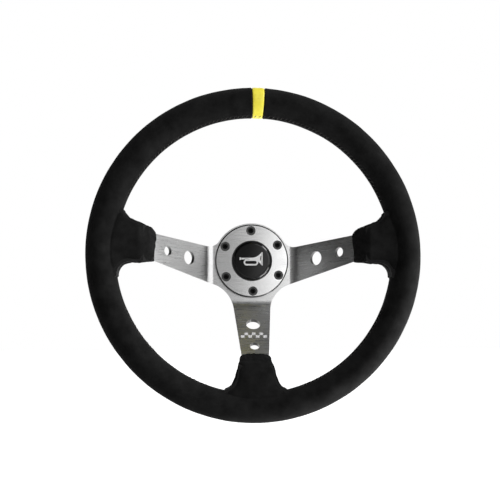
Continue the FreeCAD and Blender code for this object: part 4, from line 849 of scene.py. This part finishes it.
def add_camera():
    data = bpy.data.cameras.new("camera")
    data.sensor_width = 36.0
    data.lens = 42.45
    data.shift_x = -0.0097
    data.shift_y = 0.1042
    data.clip_start = 0.01
    data.clip_end = 50.0
    camera = bpy.data.objects.new("camera", data)
    bpy.context.scene.collection.objects.link(camera)
    to_row = Matrix(((1, 0, 0), (0, 0, -1), (0, 1, 0)))
    turn = (
        Matrix.Rotation(CAMERA_ROLL, 3, "Z")
        @ Matrix.Rotation(CAMERA_SWING, 3, "Y")
        @ Matrix.Rotation(CAMERA_TILT, 3, "X")
    )
    world = (to_row @ turn.transposed()).to_4x4()
    world.translation = Vector(CAMERA_PLACE)
    camera.matrix_world = world
    bpy.context.scene.camera = camera


def add_area(name, azimuth, elevation, distance, size, radiance):
    """A soft light facing the wheel; azimuth 0 is the driver's side, positive to the right."""
    data = bpy.data.lights.new(name, "AREA")
    data.shape = "RECTANGLE"
    data.size, data.size_y = size
    data.energy = radiance * math.pi * size[0] * size[1]
    lamp = bpy.data.objects.new(name, data)
    bpy.context.scene.collection.objects.link(lamp)
    a, e = math.radians(azimuth), math.radians(elevation)
    away = Vector((math.sin(a) * math.cos(e), -math.cos(a) * math.cos(e), math.sin(e)))
    lamp.location = away * distance
    lamp.rotation_euler = away.to_track_quat("Z", "Y").to_euler()
    return lamp


# Brightness of the studio by azimuth: 0 is the driver's side, 90 the driver's right.
SURROUND = [
    (-180, 0.30),
    (-130, 0.015),
    (-90, 0.015),
    (-50, 0.07),
    (-16, 0.17),
    (-5, 0.33),
    (3.9, 0.37),
    (6.0, 1.95),
    (30, 1.6),
    (84, 1.15),
    (92, 0.35),
    (120, 0.27),
    (180, 0.30),
]


def world_ramp(tree, value, low, high):
    """0 below low, 1 above high, and smooth between."""
    ramp = tree.nodes.new("ShaderNodeMapRange")
    ramp.interpolation_type = "SMOOTHSTEP"
    ramp.inputs["From Min"].default_value = low
    ramp.inputs["From Max"].default_value = high
    tree.links.new(value, ramp.inputs["Value"])
    return ramp.outputs["Result"]


def add_world():
    """A bright wall on the driver's right, dim ones left and above, white behind the wheel."""
    world = bpy.data.worlds.new("studio")
    bpy.context.scene.world = world
    world.use_nodes = True
    tree = world.node_tree
    place = tree.nodes.new("ShaderNodeTexCoord")
    split = tree.nodes.new("ShaderNodeSeparateXYZ")
    tree.links.new(place.outputs["Generated"], split.inputs["Vector"])
    x, y, z = split.outputs
    azimuth = math_node(tree, "ARCTAN2", x, math_node(tree, "MULTIPLY", y, -1.0))
    leaning = math_node(tree, "ADD", math_node(tree, "MULTIPLY_ADD", z, -0.25, azimuth), 0.025)
    turn = math_node(tree, "MULTIPLY_ADD", leaning, 0.5 / math.pi, 0.5)
    ramp = tree.nodes.new("ShaderNodeValToRGB")
    tree.links.new(turn, ramp.inputs["Fac"])
    stops = ramp.color_ramp.elements
    stops[0].position, stops[1].position = 0.0, 1.0
    for degrees, _ in SURROUND[1:-1]:
        stops.new(degrees / 360 + 0.5)
    for stop, (_, level) in zip(stops, SURROUND):
        stop.color = (level, level, level, 1)
    overhead = world_ramp(tree, z, 0.3, 0.9)
    shade = math_node(tree, "MULTIPLY_ADD", overhead, -0.8, 1.0)
    walls = math_node(tree, "MULTIPLY", ramp.outputs["Color"], shade)
    white = world_ramp(tree, y, 0.5, 0.78)
    level = math_node(tree, "MAXIMUM", walls, white)
    tree.links.new(level, tree.nodes["Background"].inputs["Color"])


def add_stage():
    """Pale floor that glows behind the wheel, as a lit backdrop does, and three soft lights."""
    mat, shader = new_material("floor_pale", (0.6, 0.6, 0.6), 0.0, 0.9)
    shader.inputs["Specular IOR Level"].default_value = 0.1
    shader.inputs["Emission Color"].default_value = (1, 1, 1, 1)
    place = node(mat, "ShaderNodeNewGeometry")
    split = node(mat, "ShaderNodeSeparateXYZ")
    link(mat, place.outputs["Position"], split.inputs["Vector"])
    glow = limited(mat, split.outputs["Y"], 0.0, 0.2, 0.0, 1.0)
    link(mat, glow, shader.inputs["Emission Strength"])
    half = 6.0
    corners = [(-half, -half), (half, -half), (half, half), (-half, half)]
    points = [(x, y, FLOOR_Z) for x, y in corners]
    floor = new_mesh("floor", points, [(0, 1, 2, 3)], mat, smooth=False)
    add_area("key_upper_right", 64, 44, 1.7, (0.9, 0.45), 13.0)
    for azimuth, elevation, distance in ((66, -24, 0.6), (61, -42, 0.5)):
        add_area("strip_lower_right", azimuth, elevation, distance, (0.07, 0.22), 28.0)


def main():
    looks = make_materials()
    dress_nodes(looks)
    make_springs()
    make_suede(looks)
    make_stitches(looks)
    make_marker(looks)
    make_symbol(looks)
    make_checks(looks)
    add_world()
    add_stage()
    add_camera()
    bpy.context.scene.view_settings.view_transform = "Standard"


main()
